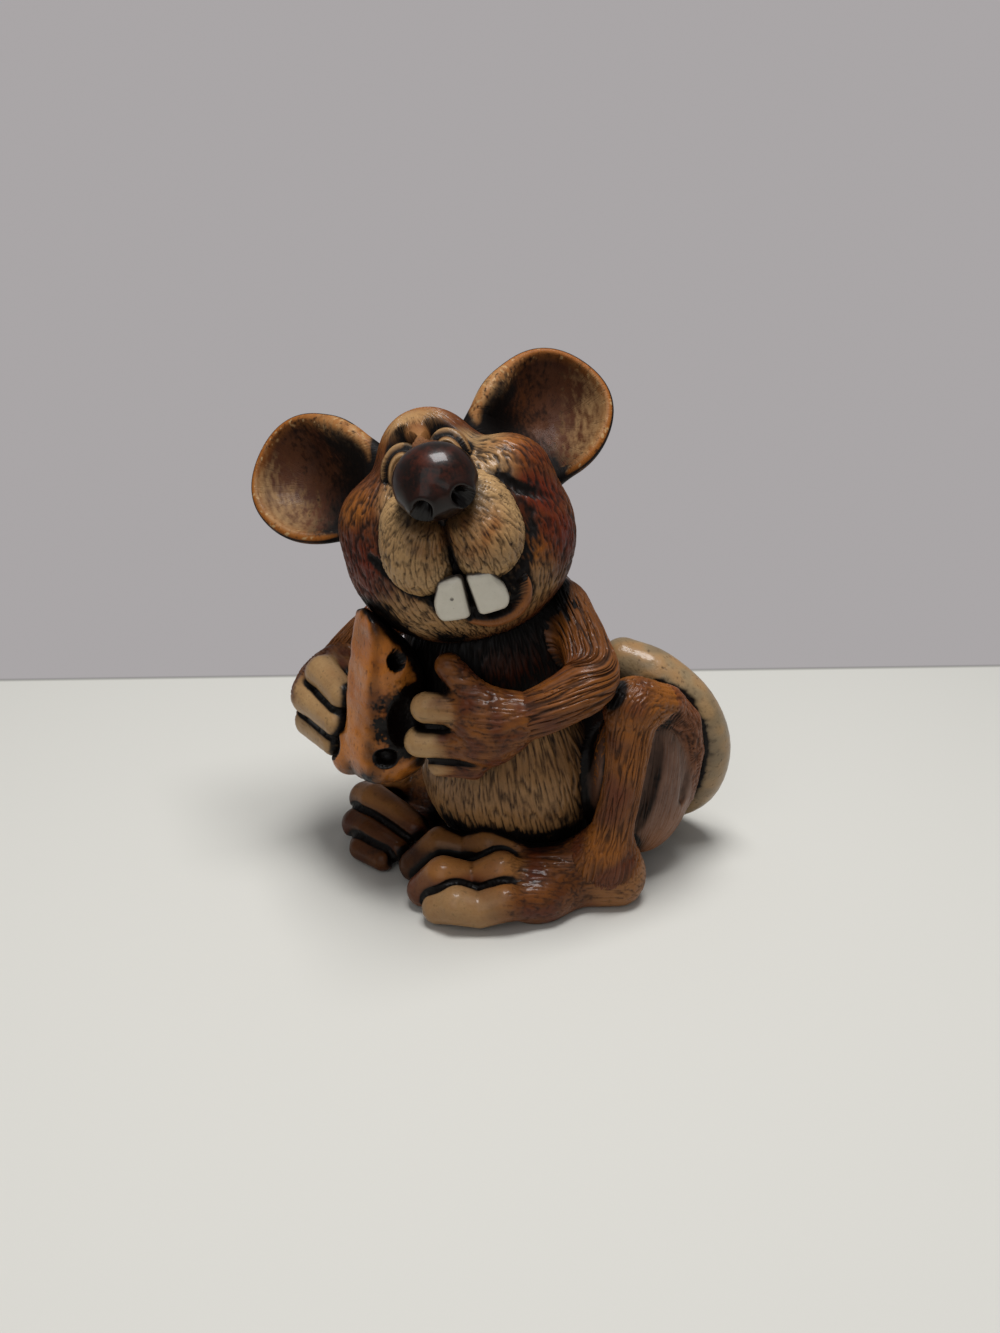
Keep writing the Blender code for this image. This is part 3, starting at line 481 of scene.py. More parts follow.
def face_paints(q):
    """How the face is airbrushed, by place, with near-black painted shade in the smile crease and the mouth's
    corners.
    """
    patch = noise(q * 0.22, 23)
    chin = ramp(-q[..., 1] + 4 * patch, 12.5, 18.0) * ramp(q[..., 2], -2, 5)
    cream = most(
        near(q, (9, 6, 19.5), (9, 11, 9)), near(q, (-8, 2, 18.5), (6.5, 9, 8)), 0.75 * chin,
        0.9 * near(q, (9, 12.5, 14), (8, 6, 9)), 0.8 * near(q, (-4, 19.5, 15), (10, 5, 6)),
    )
    red = most(
        near(q, (19, -1, 12), (9, 8, 10)), near(q, (21, -8, 8), (7, 8, 12)),
        0.7 * near(q, (19, 7, 12), (6, 5, 9)), near(q, (-20, -7, 10), (10, 11, 13)),
    )
    ochre = most(
        near(q, (15, 9, 15), (9, 7, 9)), near(q, (16.5, -12.5, 11), (7, 5, 8)),
        near(q, (-17, 4, 13), (7, 6, 9)), near(q, (-4, 20, 13), (11, 9, 9)), 0.7 * chin,
    )
    bridge = 1 - ramp(path(q, BRIDGE_LINE, [1.6, 2.4, 4.0]), 0.0, 1.0)
    crease_shade = 1 - ramp(path(q, SMILE_CREASE, SMILE_RADII), -0.2, 0.3)
    corners = 1 - ramp(path(q, MOUTH_LINE, MOUTH_RADII), 0.0, 0.9)
    return {
        "cream": np.maximum(cream * (1 - bridge), 0.4 * bridge) * 0.9,
        "red": np.maximum(red * (1 - chin) * 0.95, 0.15 * bridge),
        "ochre": np.maximum(ochre, 0.9 * bridge) * 0.85,
        "soot": np.maximum(crease_shade, 0.8 * corners) - 1.4 * bridge,
    }


def head_piece(
    node, slot, material, mass, line, radius, size, paints, bare=lambda q: 0.0, depth=0.34,
    flow_of=head_flow, dashes=0.1, side=(0, 0, 1),
):
    """Cast a mass in the head's frame, and press the fur in where it isn't bare."""
    grid, aim, _, _ = cast(mass, line, radius, *size, side)
    flow = flow_of(grid)
    groove = hair_lines(flow, 21, dashes, 0.19) * (1 - bare(grid))
    grid, normals = pressed(grid, aim, groove * depth)
    return grid_piece(
        node, slot, material, from_head(grid), normals @ HEAD_AXES, flow, groove,
        lambda p: mass(in_head(p)), **paints(grid),
    )


fur_rust = glazed("fur_rust", (0.120, 0.036, 0.008), (0.062, 0.014, 0.004), hair=0.72, grime=0.7)


def bare_face(q):
    """The brow, the nose bridge and the sockets carry no hair lines."""
    bare = np.maximum(near(q, (-1.8, 12, 19), (4, 8, 7)), near(q, (-3, 20, 12), (6, 5, 7)))
    for centre, radii in EYES.values():
        bare = np.maximum(bare, near(q, np.add(centre, (0, 2, 0)), np.add(radii, 3)))
    return np.clip(bare * 1.6, 0, 1)


brow = np.array(FUR_POLE) / 23.0
HEAD_LINE = np.array((0, -2, 0)) + np.array([brow * -4, brow * 5])
head_piece(
    "head", "fur_rust", fur_rust, head_mass, HEAD_LINE, HEAD_RADIUS, (210, 460), face_paints, bare_face
)

# Lower jaw
# The chin is one with the cheeks under the fur, and parts from the muzzle along the smile. A thick
# orange lip stands up round the teeth.
LIP = smooth_line(
    [
        (12.8, -16.4, 12.4), (12.7, -18.4, 10.4), (11.3, -20.6, 8.5), (8.4, -22.2, 7.5),
        (4.4, -22.9, 7.8), (0.6, -22.3, 9.0),
    ],
    [0.4, 1.0, 1.4, 1.4, 1.2, 0.5],
)
fur_cream = glazed("fur_cream", (0.140, 0.046, 0.012), (0.075, 0.021, 0.007), hair=0.7, grime=1.0)


def jaw_mass(q):
    """The face's surface inside the jaw's zone, sinking at the zone's edge, with the lip on it."""
    zone = jaw_zone(q)
    skin = face_mass(q) - 0.06 + 0.4 * ramp(zone, -1.4, 0)
    return melt(np.maximum(skin, zone), path(q, *LIP), 2.2)


def jaw_paints(q):
    """The face's paints, with more orange on the lip."""
    paints = face_paints(q)
    lip = 1 - ramp(path(q, *LIP), 0.0, 1.3)
    paints["ochre"] = np.maximum(paints["ochre"], lip)
    paints["red"] = np.maximum(paints["red"], 0.4 * lip)
    paints["cream"] = paints["cream"] * (1 - 0.85 * lip)
    return paints


head_piece(
    "jaw", "fur_cream", fur_cream, jaw_mass, [(-3, -19, 6), (3, -19, 6)], 9, (150, 330), jaw_paints,
    lambda q: 0.8 - 0.8 * ramp(path(q, *LIP), 0.3, 1.2),
)

# Whisker pads
# Two cushions of resin side by side under the nose, covered in short cuts that run out and down.
# Cream at the outer edge and tan in the middle, with a line of near-black painted shade in the crease between
# them.


def pad_paints(q):
    """Cream round the edge and tan towards the middle, with a line of painted shade in the crease between the
    pads that is blackest below.
    """
    middle = np.maximum(0.8 * near(q, (-0.5, -9, 24), (9, 10, 9)), near(q, (6.5, -9.5, 23), (9, 8.5, 9)))
    blotch = ramp(noise(q * (0.35, 0.25, 0.35), 24), -0.25, 0.3)
    parting_shade = (1 - ramp(np.abs(q[..., 0] - 0.35), 0.2, 1.0)) * (0.2 + 0.6 * ramp(-q[..., 1], 8, 14))
    return {
        "cream": 1.0 - (0.5 + 0.45 * blotch) * middle, "ochre": 0.8 * middle, "red": 0.25 * middle * blotch,
        "soot": parting_shade,
    }


def pad_flow(q):
    """Short hairs, out from under the nose."""
    return spread_flow(q, (0.5, -6, 10), (0.0, 5.0, 9.0), 12.0, 0.78, 4.2)


PADS = (("left", (6.75, -7.5, 16.5), (8.25, 9.5, 8)), ("right", (-6.1, -7.7, 16.5), (7.9, 9.6, 8)))
for side, pad_centre, pad_radii in PADS:

    def pad_mass(q, centre=np.array(pad_centre), radii=pad_radii):
        """One ball, drawn out up the side of the nose."""
        whole = melt(ball(q, centre, radii), ball(q, centre + (0, 6, 1), (6, 5, 6)), 3)
        lean = np.sign(centre[0])
        return melt(whole, rod(q, centre + (0, 4, 0), centre + (lean * 1.0, 11, -1.5), 5.5, 3.5), 3)

    head_piece(
        side + "_whisker_pad", "fur_cream", fur_cream, pad_mass,
        np.add(pad_centre, [(0, 4, -0.5), (0, -2, 0.5)]), 8.5, (130, 260), pad_paints,
        depth=0.3, flow_of=pad_flow, dashes=0.18,
    )

# Nose
# A smooth ball, stained black-brown over red, with two nostrils pressed in from below and the glossiest
# varnish on the figurine.
NOSE_CENTRE = np.array((0.9, 0.3, 28.0))
NOSTRILS = ((-2.6, -5.9, 2.6), (4.6, -4.9, 2.6))


def nose_mass(q):
    """A ball with two raised rims at its foot, and the nostrils cut through them."""
    whole = ball(q, NOSE_CENTRE, (8.2, 7.4, 7))
    for place in NOSTRILS:
        whole = melt(whole, ball(q, NOSE_CENTRE + np.multiply(place, 0.86), (3.2, 2.6, 2.6)), 2.4)
    for place in NOSTRILS:
        start, out = NOSE_CENTRE + np.multiply(place, 0.8), unit(np.multiply(place, (0.6, 0.8, 1.6)))
        whole = carve(whole, rod(q, start, start + out * 5, 1.3, 2.2), 1.0)
    return whole


def nose_glaze():
    """Black-brown over a red ground that shows through in clouds at the front, and near-black in the nostrils
    and hollows, partly dark wash and partly painted shade.
    """
    sheet = Sheet("nose_black")
    cloud = sheet.mottle(sheet.place, 330.0, 4.0)
    speck = sheet.mottle(sheet.place, 1500.0, 3.0)
    share = sheet.held("red") * ((cloud - 0.38) * 3.2 + (speck - 0.5) * 1.4).kept()
    colour = sheet.blend(share, (0.007, 0.003, 0.002, 1), (0.052, 0.009, 0.003, 1))
    colour = sheet.blend((sheet.held("wash_and_shade") * 0.9).kept(), colour, WASH_AND_SHADE_BLACK)
    return sheet.finish({
        "Base Color": colour,
        "Roughness": (0.3 + 0.25 * (speck - 0.5) + 0.1 * cloud).kept(),
        "Coat Weight": 0.3,
        "Coat Roughness": 0.1,
        "Specular IOR Level": 0.15,
    })


def nose_paints(q):
    """Where the red ground shows."""
    return {"red": near(q, NOSE_CENTRE + (0.5, 0.5, 6), (10, 8.5, 9))}


head_piece(
    "nose", "nose_black", nose_glaze(), nose_mass, [NOSE_CENTRE + (0, 0, -1), NOSE_CENTRE + (0, 0, 1)],
    7, (100, 200), nose_paints, lambda q: 1.0, side=(0, 1, 0),
)

# Shut eyes
# Each lid is a low dome in its socket, with two raised rims drawn over it like arches, pale on the
# rims, and dark between them as painted shade.
LID_ARCH = (1.05, 1.5)
LID_STEP = 0.34


def lid_wave(q, centre, radii):
    """1 on a rim's crest and -1 between the rims, which are arches round a point low in the socket."""
    low = np.asarray(centre) - (0, 0.62 * radii[1], 0)
    out = length(((q - low) / np.asarray(radii))[..., :2] / LID_ARCH)
    return np.cos(2 * math.pi * (out - 0.94) / LID_STEP) * ramp(out, 0.42, 0.56) * (1 - ramp(out, 1.02, 1.1))


for side, (centre, radii) in EYES.items():

    def lid_mass(q, centre=centre, radii=radii):
        """An ellipsoid with rims on it."""
        return ball(q, centre, radii) - 0.45 * lid_wave(q, centre, radii)

    def lid_paints(q, centre=centre, radii=radii):
        """Pale tan on the rims, and a dark line of painted shade in each furrow."""
        wave = lid_wave(q, centre, radii)
        return {"cream": 0.35 + 0.25 * wave, "ochre": 0.2 + 0 * wave, "soot": ramp(-wave, 0.45, 1.0) - 0.3}

    head_piece(
        side + "_eyelid", "fur_brown", fur_brown, lid_mass,
        np.add(centre, [(0, 0, -0.5), (0, 0, 0.5)]), 3.6, (90, 150), lid_paints, lambda q: 1.0,
        side=(0, 1, 0),
    )

# Incisors
# Two white slabs with rounded corners, narrower at the gum, standing out of the mouth with a dark
# gap between them. One holds a tiny air bubble from the casting.
SIDES = (("left", 1), ("right", -1))
TOOTH_SLOPE = math.radians(48)
TOOTH_SPLAY = math.radians(5)


def tooth_glaze():
    """Satin white, barely clouded, with small grey specks, and darker towards the gum and between the teeth,
    partly dark wash and partly painted shade.
    """
    sheet = Sheet("tooth_white")
    cloud = sheet.mottle(sheet.place, 500.0, 4.0)
    speck = sheet.mottle(sheet.place, 2600.0, 2.0)
    colour = sheet.blend(cloud, (0.52, 0.475, 0.385, 1), (0.64, 0.60, 0.51, 1))
    colour = sheet.blend(((speck - 0.66) * 4.0).kept(), colour, (0.30, 0.27, 0.21, 1))
    colour = sheet.blend((sheet.held("wash_and_shade") ** 1.6 * 0.9).kept(), colour, STAIN_AND_SHADE_BROWN)
    return sheet.finish({
        "Base Color": colour,
        "Roughness": (0.32 + 0.2 * (cloud - 0.5)).kept(),
        "Coat Weight": 0.3,
        "Coat Roughness": 0.2,
    })


tooth_white = tooth_glaze()
for side, sign in SIDES:
    tooth_centre = np.array((sign * 3.7 + 1.7, -18.6, 14.7))
    splay = Matrix.Rotation(sign * TOOTH_SPLAY, 3, "Z")
    tooth_axes = np.array(splay @ Matrix.Rotation(TOOTH_SLOPE, 3, "X")).T

    def tooth_mass(q, centre=tooth_centre, axes=tooth_axes, outer=sign):
        """A rounded box, straight inside, and outside narrow at the gum."""
        t = (q - centre) @ axes.T
        across = t[..., 0] * outer
        narrow = 1 - 0.42 * ramp(t[..., 1], -1.5, 5.0) - 0.15 * ramp(-t[..., 1], 2.5, 5.0)
        across = np.where(across > 0, across / narrow, across) - 0.15
        bowed = np.stack([across, t[..., 1], t[..., 2] + 0.035 * across**2], axis=-1)
        over = np.abs(bowed) - np.array((3.4, 4.75, 1.5)) + 1.25
        slab = length(np.maximum(over, 0)) + np.minimum(over.max(axis=-1), 0) - 1.25
        return carve(slab, length(t - (0.4, 0.6, 1.5)) - 0.33, 0.2) if outer < 0 else slab

    head_piece(
        side + "_incisor", "tooth_white", tooth_white, tooth_mass,
        tooth_centre + [(-0.5, 0, 0), (0.5, 0, 0)], 4, (90, 130), lambda q: {}, lambda q: 1.0,
    )

# Ears
# Wide dishes pressed out of the same clay as the head. The rim is thin outside, folds over forward
# on the brow's side, and runs out in the head at the root, so that the bowl opens into the cheek.
EAR_RADIUS = 15.0
EAR_DISH = 8.0
EAR_BOWL = 6.2
EAR_TOE_IN = math.radians(12)
RIM_ROLL = math.radians(140)
EARS = (("left", (23.0, 21.0, 2.5), 1, 222), ("right", (-28.9, 19.15, 2.5), -1, -36))
ear_glaze = glazed("ear_rust", (0.066, 0.022, 0.006), (0.020, 0.007, 0.003), 0.95, 0.6, 0.03, 1.3)


def bell(around, middle, width):
    """1 at one bearing, and less on both sides of it as a Gauss curve."""
    return np.exp(-(((around - middle) / width) ** 2))


def ear_lift(around, out):
    """How far the shell rises under the fold and sinks at the root."""
    return ramp(out / EAR_RADIUS, 0.3, 1.0) * (2.4 * bell(around, 62, 46) - 7.0 * bell(around, -22, 40))


def ear_piece(side, place, sign, root):
    """A dish turned round its middle. The section runs out along the back as a quarter ellipse, rolls
    over the rim, and leads down into the bowl as a power of the radius. Round the turn, measured
    from the root, the rim changes its thickness and lift."""
    columns = np.linspace(0, 2 * math.pi, 310, endpoint=False)
    angle, run = np.meshgrid(columns, np.linspace(0, 1, 180))
    around = (sign * (root - np.degrees(angle)) + 180) % 360 - 180
    fold = bell(around, 62, 46)
    rim = 0.95 + 1.9 * fold + 0.3 * bell(around, -90, 50)
    size = 0.965 - 0.07 * bell(around, 92, 30) + 0.2 * bell(around, 30, 24)
    size = EAR_RADIUS * (size + 0.01 * np.cos(np.radians(5 * around)))
    back, bowl = np.clip(run / 0.42, 0, 1), np.clip((1 - run) / 0.42, 0, 1)
    turned = np.clip((run - 0.42) / 0.16, 0, 1) * RIM_ROLL
    out = np.where(run < 0.42, size * np.sin(back * math.pi / 2), size - rim + rim * np.cos(turned))
    out = np.where(run > 0.58, (size - rim + rim * math.cos(RIM_ROLL)) * bowl, out)
    up = np.where(run < 0.42, -EAR_DISH * np.cos(back * math.pi / 2), rim * np.sin(turned))
    up = np.where(run > 0.58, -EAR_BOWL + (rim * math.sin(RIM_ROLL) + EAR_BOWL) * bowl**2.3, up)
    up = up + ear_lift(around, out)
    shell = np.stack([out * np.cos(angle), out * np.sin(angle), up], axis=-1)
    turn = np.array(Matrix.Rotation(sign * EAR_TOE_IN, 3, "Y"))
    q = shell @ turn.T + np.array(place)
    inside = ramp(run, 0.5, 0.56)
    aim = unit(np.where((run < 0.5)[..., None], q - place, place + turn @ (0, 0, 9.0) - q))
    normals = facing(q, aim)
    swell = np.clip(4 - face_mass(q), 0, 4)
    q = q + normals * (swell**2 / 16)[..., None]

    streaks = noise(q * (0.9, 0.28, 0.9), 41) + 0.6 * noise(q * (2.2, 0.9, 2.2), 42)
    toward = lambda bearing: out / EAR_RADIUS * np.cos(np.radians(around - bearing))
    pale = ramp(toward(-115) + 0.6 * streaks, 0.15, 1.05)
    # Painted shade and shadow: the bowl is darker on the brow's side and towards the root, and this dark goes
    # into the carved-line attribute; near-black is painted at the root and along the fold's inner edge, as
    # shade in the root and the fold's shadow over the bowl.
    bowl_shade = np.maximum(ramp(toward(60) + 1.1 * streaks, -0.3, 0.55), ramp(toward(8), -0.05, 0.6)) * inside
    fold_shadow = (1 - ramp(np.abs(run - 0.625), 0.015, 0.06)) * ramp(fold, 0.3, 0.8)
    soot = np.maximum(ramp(toward(12) + 0.25 * streaks, 0.0, 0.5), fold_shadow) * inside
    bead = ramp(run, 0.40, 0.46) * (1 - ramp(run, 0.57, 0.62))
    chips = ramp(noise(q * 1.1, 43), 0.26, 0.32) * bead
    pale_fold = fold * bead * (0.5 + 0.5 * ramp(streaks, -0.3, 0.2))
    worn = ramp(noise(q * 1.6, 44), 0.08, 0.28) * bead * (0.4 + 0.5 * fold)

    def mass(p):
        """The shell as a ball with a shallower ball taken out of its front."""
        e = (in_head(p) - place) @ turn
        bearing = (sign * (root - np.degrees(np.arctan2(e[..., 1], e[..., 0]))) + 180) % 360 - 180
        e[..., 2] -= ear_lift(bearing, length(e[..., :2]))
        solid = ball(e, (0, 0, 0), (EAR_RADIUS, EAR_RADIUS, EAR_DISH))
        hollow = ball(e, (0, 0, 0.6), (EAR_RADIUS - 1.6, EAR_RADIUS - 1.6, EAR_BOWL + 0.6))
        return most(solid, -hollow, e[..., 2] - 1)

    return grid_piece(
        side + "_ear", "fur_rust", ear_glaze, from_head(q), normals @ HEAD_AXES,
        np.stack([np.cos(angle) * 14, np.sin(angle) * 14, run * 3], axis=-1),
        np.maximum(bowl_shade * 0.95, worn) * (1 - 0.6 * chips), mass,
        cream=most(inside * pale * 0.5, chips, pale_fold * 0.6), ochre=(1 - inside) * 0.6 + bead * 0.6,
        red=0.1, soot=soot * 0.95,
    )


for ear in EARS:
    ear_piece(*ear)

# Arms
# Two bent limbs round the cheese. Each is one roll of clay from the shoulder over the elbow to the
# hand, in two nodes, so the long deep hair lines run on across the elbow, and the varnish makes them shine.
SHOULDERS = {"left": np.array((13.5, 1.5, 62.0)), "right": np.array((-16, 2, 65.0))}
ELBOWS = {"left": np.array((28.3, -5, 54.0)), "right": np.array((-30.5, -9, 56.0))}
WRISTS = {"left": np.array((20.5, -21, 45.5)), "right": np.array((-29, -37.5, 40.5))}
ARM_RADII = [5.0, 5.2, 5.3, 5.9, 5.2, 4.9]


def on_torso(own):
    """A mass that runs into the torso with a fillet, kept near its own surface."""

    def mass(p):
        alone = own(p)
        return np.maximum(melt(alone, torso_mass(p), 3.0), alone - 2.4)

    return mass


def arm_paints(p):
    """Ochre breaks through along the arm, and the shoulder is darker with painted shade under the chin."""
    patch = noise(p * 0.11, 51)
    return {
        "ochre": ramp(patch, -0.25, 0.3) * 0.5, "red": ramp(-patch, 0.1, 0.4) * 0.4,
        "soot": 0.3 * ramp(p[..., 2] + 6 * patch, 57, 64),
    }


def arm_pieces(side, sign):
    """One cast of the whole arm, parted at the elbow's row and each part closed there by a flat end."""
    shoulder, elbow, wrist = SHOULDERS[side], ELBOWS[side], WRISTS[side]
    bulge = shoulder + (elbow - shoulder) * 0.6 + np.array((sign * 0.8, 0.8, 0.6))
    half = elbow + (wrist - elbow) * 0.5 + np.array((sign * 2, -0.5, 0))
    hidden = shoulder - (bulge - shoulder) * 0.3
    line, sizes = smooth_line([hidden, shoulder, bulge, elbow, half, wrist], ARM_RADII)
    own = lambda p: path(p, line, sizes)
    grid, aim, angle, place = cast(on_torso(own), line, 5.3, 250, 190, (0, 0.3, 1))
    flow = round_flow(angle, place, 5.3, 0.95, 15.0)
    groove = hair_lines(flow, 61, width=0.16) * ramp(place - place[0], 3, 10)[:, None]
    grid, normals = pressed(grid, aim, groove * 0.34)
    run = np.concatenate([[0], np.cumsum(length(np.diff(line, axis=0)))])
    at_elbow = int(np.searchsorted(place, run[15]))
    halves = (("_upper_arm", slice(0, at_elbow + 1), -1), ("_forearm", slice(at_elbow, None), 0))
    for node, rows, end in halves:
        parts = [part[rows] for part in (grid, normals, flow, groove)]
        caps = [np.broadcast_to(part[end].mean(axis=0), part[end].shape)[None] for part in parts]
        parts = [np.concatenate([part, cap] if end else [cap, part]) for part, cap in zip(parts, caps)]
        made = grid_piece(side + node, "fur_rust", limb_rust, *parts, own, **arm_paints(parts[0]))
        made.data.set_sharp_from_angle(angle=math.radians(70))
    return own


limb_rust = glazed("limb_rust", (0.130, 0.041, 0.009), (0.072, 0.019, 0.005), hair=0.5)
arm_masses = {side: arm_pieces(side, sign) for side, sign in SIDES}

# Cheese
# A smooth wedge, point up, with round holes. Orange resin stained brown, dented and scratched, and
# the fingers of both hands press into it.
CHEESE_CORNERS = np.array(
    [
        (-10.4, -45.6, 28.6), (6.8, -46.2, 29.6), (-9.6, -25.5, 29.5), (8.6, -29.5, 29.5),
        (-7.2, -38.0, 68.0), (-1.6, -40.0, 68.5), (-8, -26.2, 53.0), (6.6, -26.4, 51.5),
    ]
)
CHEESE_CENTRE = CHEESE_CORNERS.mean(axis=0)
CHEESE_SIDES = ((0, 1, 5), (1, 3, 7), (3, 2, 6), (2, 0, 4), (4, 5, 7), (0, 2, 3))
CHEESE_HOLES = (
    ((1.1, -36.7, 55.5), (1.1, 1.1, 1.0)), ((5.6, -40.5, 37.2), (2.4, 2.2, 1.9)),
    ((-8.2, -44.2, 35.0), (2.2, 2.2, 2.4)), ((7.2, -36.7, 45.0), (2.6, 3.6, 5.4)),
)


def cheese_mass(p):
    """The inside of six planes with rounded edges, lumpy, and balls taken out for the holes."""
    c = p - CHEESE_CENTRE
    whole = np.full(c.shape[:-1], -50.0)
    for i, j, k in CHEESE_SIDES:
        a, b, d = CHEESE_CORNERS[[i, j, k]] - CHEESE_CENTRE
        out = unit(np.cross(b - a, d - a))
        out = out * np.sign(out @ a)
        whole = -melt(-whole, (a - c) @ out, 3.2 + 4.0 * (1 - ramp(p[..., 2], 38, 58)))
    whole = whole - 0.7 * noise(c * 0.14, 71) - 0.25 * noise(c * 0.4, 74)
    whole = melt(whole, ball(p, (-8.0, -42.0, 33.0), (3.4, 4.0, 5.0)), 3.0)
    for place, size in CHEESE_HOLES:
        whole = carve(whole, ball(p, place, size), 0.8)
    return whole


def cheese_marks(p):
    """Dark in the holes as painted shade, mottled dark on the bite, painted shade along the top back edge by
    the chin and the fingertips, and short scratches all over.
    """
    hole_shade_and_bite = np.zeros(p.shape[:-1])
    for place, size in CHEESE_HOLES[:3]:
        hole_shade_and_bite = np.maximum(hole_shade_and_bite, 0.9 - 0.9 * ramp(ball(p, place, size), 0.1, 0.7))
    bite = 1 - ball(p, *CHEESE_HOLES[3]) / 4.0 + 0.7 * noise(p * 1.5, 75) + 0.5 * noise(p * 0.5, 78)
    edge_shade = 1 - rod(p, (-1, -35, 69), (8, -26, 50), 1.0, 3.0) / 3.5 + 0.5 * noise(p * 1.2, 79)
    mottled = np.maximum(ramp(bite, 0.1, 0.9), ramp(edge_shade, 0.0, 0.9))
    scratch = ramp(noise(p * (1.6, 1.6, 0.6), 76), 0.3, 0.4)
    scratch = scratch + 0.5 * ramp(noise(p * (0.5, 0.5, 2.2), 77), 0.36, 0.42)
    return np.maximum(hole_shade_and_bite, 0.85 * mottled), 0.75 * np.clip(scratch, 0, 1)


cheese_glaze = glazed("cheese_orange", (0.46, 0.155, 0.022), (0.31, 0.085, 0.011), 0.9, 0.32, 0.4, 0.4)
CHEESE_LINE = CHEESE_CENTRE + np.array([(-0.5, 0, -10), (-1.5, -2, 8)])
grid, aim, _, _ = cast(cheese_mass, CHEESE_LINE, 7, 170, 210, (0, 1, 0))
hole_shade_and_bite, scratch = cheese_marks(grid)
grid_piece(
    "cheese", "cheese_orange", cheese_glaze, grid, facing(grid, aim), grid * 0.5, scratch, cheese_mass,
    soot=hole_shade_and_bite, ochre=ramp(noise(grid * 0.15, 72), -0.1, 0.4) * 0.5,
    red=ramp(noise(grid * 0.12, 73), 0.1, 0.5) * 0.4,
)

# Hands
# A mitten of resin with three plump fingers and a thumb, pressed against the cheese. Hair lines run
# on from the arm over the back, and the fingertips are rubbed with cream.
PALM_RADII = (4.25, 6.5, 8.0)
HAND_GRAIN = 0.33
HANDS = {
    "left": {
        "sign": 1, "ahead": (-0.669, -0.743, 0.0), "palm_shift": (0, 0, 0), "rubbed": (5.0, 11.0),
        "thumb": ((17.8, -25.3, 50.4), (11.9, -28.6, 57.4), 3.7, 2.9),
        "fingers": (
            ((17.3, -26.5, 49.0), (10.9, -33.6, 49.0), 3.5, 3.3),
            ((17.3, -26.5, 41.1), (9.8, -34.8, 41.1), 3.6, 3.3),
            ((17.3, -26.5, 35.9), (12.6, -31.7, 35.9), 2.9, 2.5),
        ),
    },
    "right": {
        "sign": -1, "ahead": (0.985, -0.12, -0.12), "palm_shift": (1.0, 2.6, -0.5), "rubbed": (-4.0, 1.5),
        "thumb": ((-24, -36, 44.0), (-17.5, -33.5, 46.0), 3.2, 2.6),
        "fingers": (
            ((-22.5, -40.0, 46.4), (-11.5, -41.0, 45.2), 3.6, 3.3),
            ((-25.0, -42.8, 39.6), (-11.5, -42.8, 39.2), 3.5, 3.3),
            ((-26.0, -42.6, 33.0), (-12.5, -43.2, 33.8), 3.2, 3.0),
        ),
    },
}


def remeshed(shells, grain):
    """One skin round several closed shells, by Blender's voxel remesh: points and square faces."""
    parts, faces, count = [], [], 0
    for grid in shells:
        spots = flat(grid)
        faces += [[i + count for i in face] for face in net(*grid.shape[:2])]
        parts.append(spots)
        count += len(spots)
    mesh = bpy.data.meshes.new("shells")
    mesh.from_pydata(np.concatenate(parts) * MM, [], faces)
    holder = bpy.data.objects.new("shells", mesh)
    bpy.context.scene.collection.objects.link(holder)
    skin = holder.modifiers.new("Skin", "REMESH")
    skin.mode = "VOXEL"
    skin.voxel_size = grain * MM
    graph = bpy.context.evaluated_depsgraph_get()
    made = holder.evaluated_get(graph).to_mesh()
    spots = np.empty(len(made.vertices) * 3)
    made.vertices.foreach_get("co", spots)
    corners = np.empty(len(made.loops), np.int64)
    made.loops.foreach_get("vertex_index", corners)
    bpy.data.objects.remove(holder)
    return spots.reshape(-1, 3) / MM, corners.reshape(-1, 4)


def slope_of(mass, p):
    """Which way a mass's distance grows fastest."""
    step = 0.05
    return unit(np.stack([mass(p + e * step) - mass(p - e * step) for e in np.eye(3)], axis=-1))


def settled(mass, p, rounds=5):
    """Points walked onto a mass's surface, and its normals there."""
    for _ in range(rounds):
        p = p - slope_of(mass, p) * np.clip(mass(p), -0.6, 0.6)[:, None]
    return p, slope_of(mass, p)


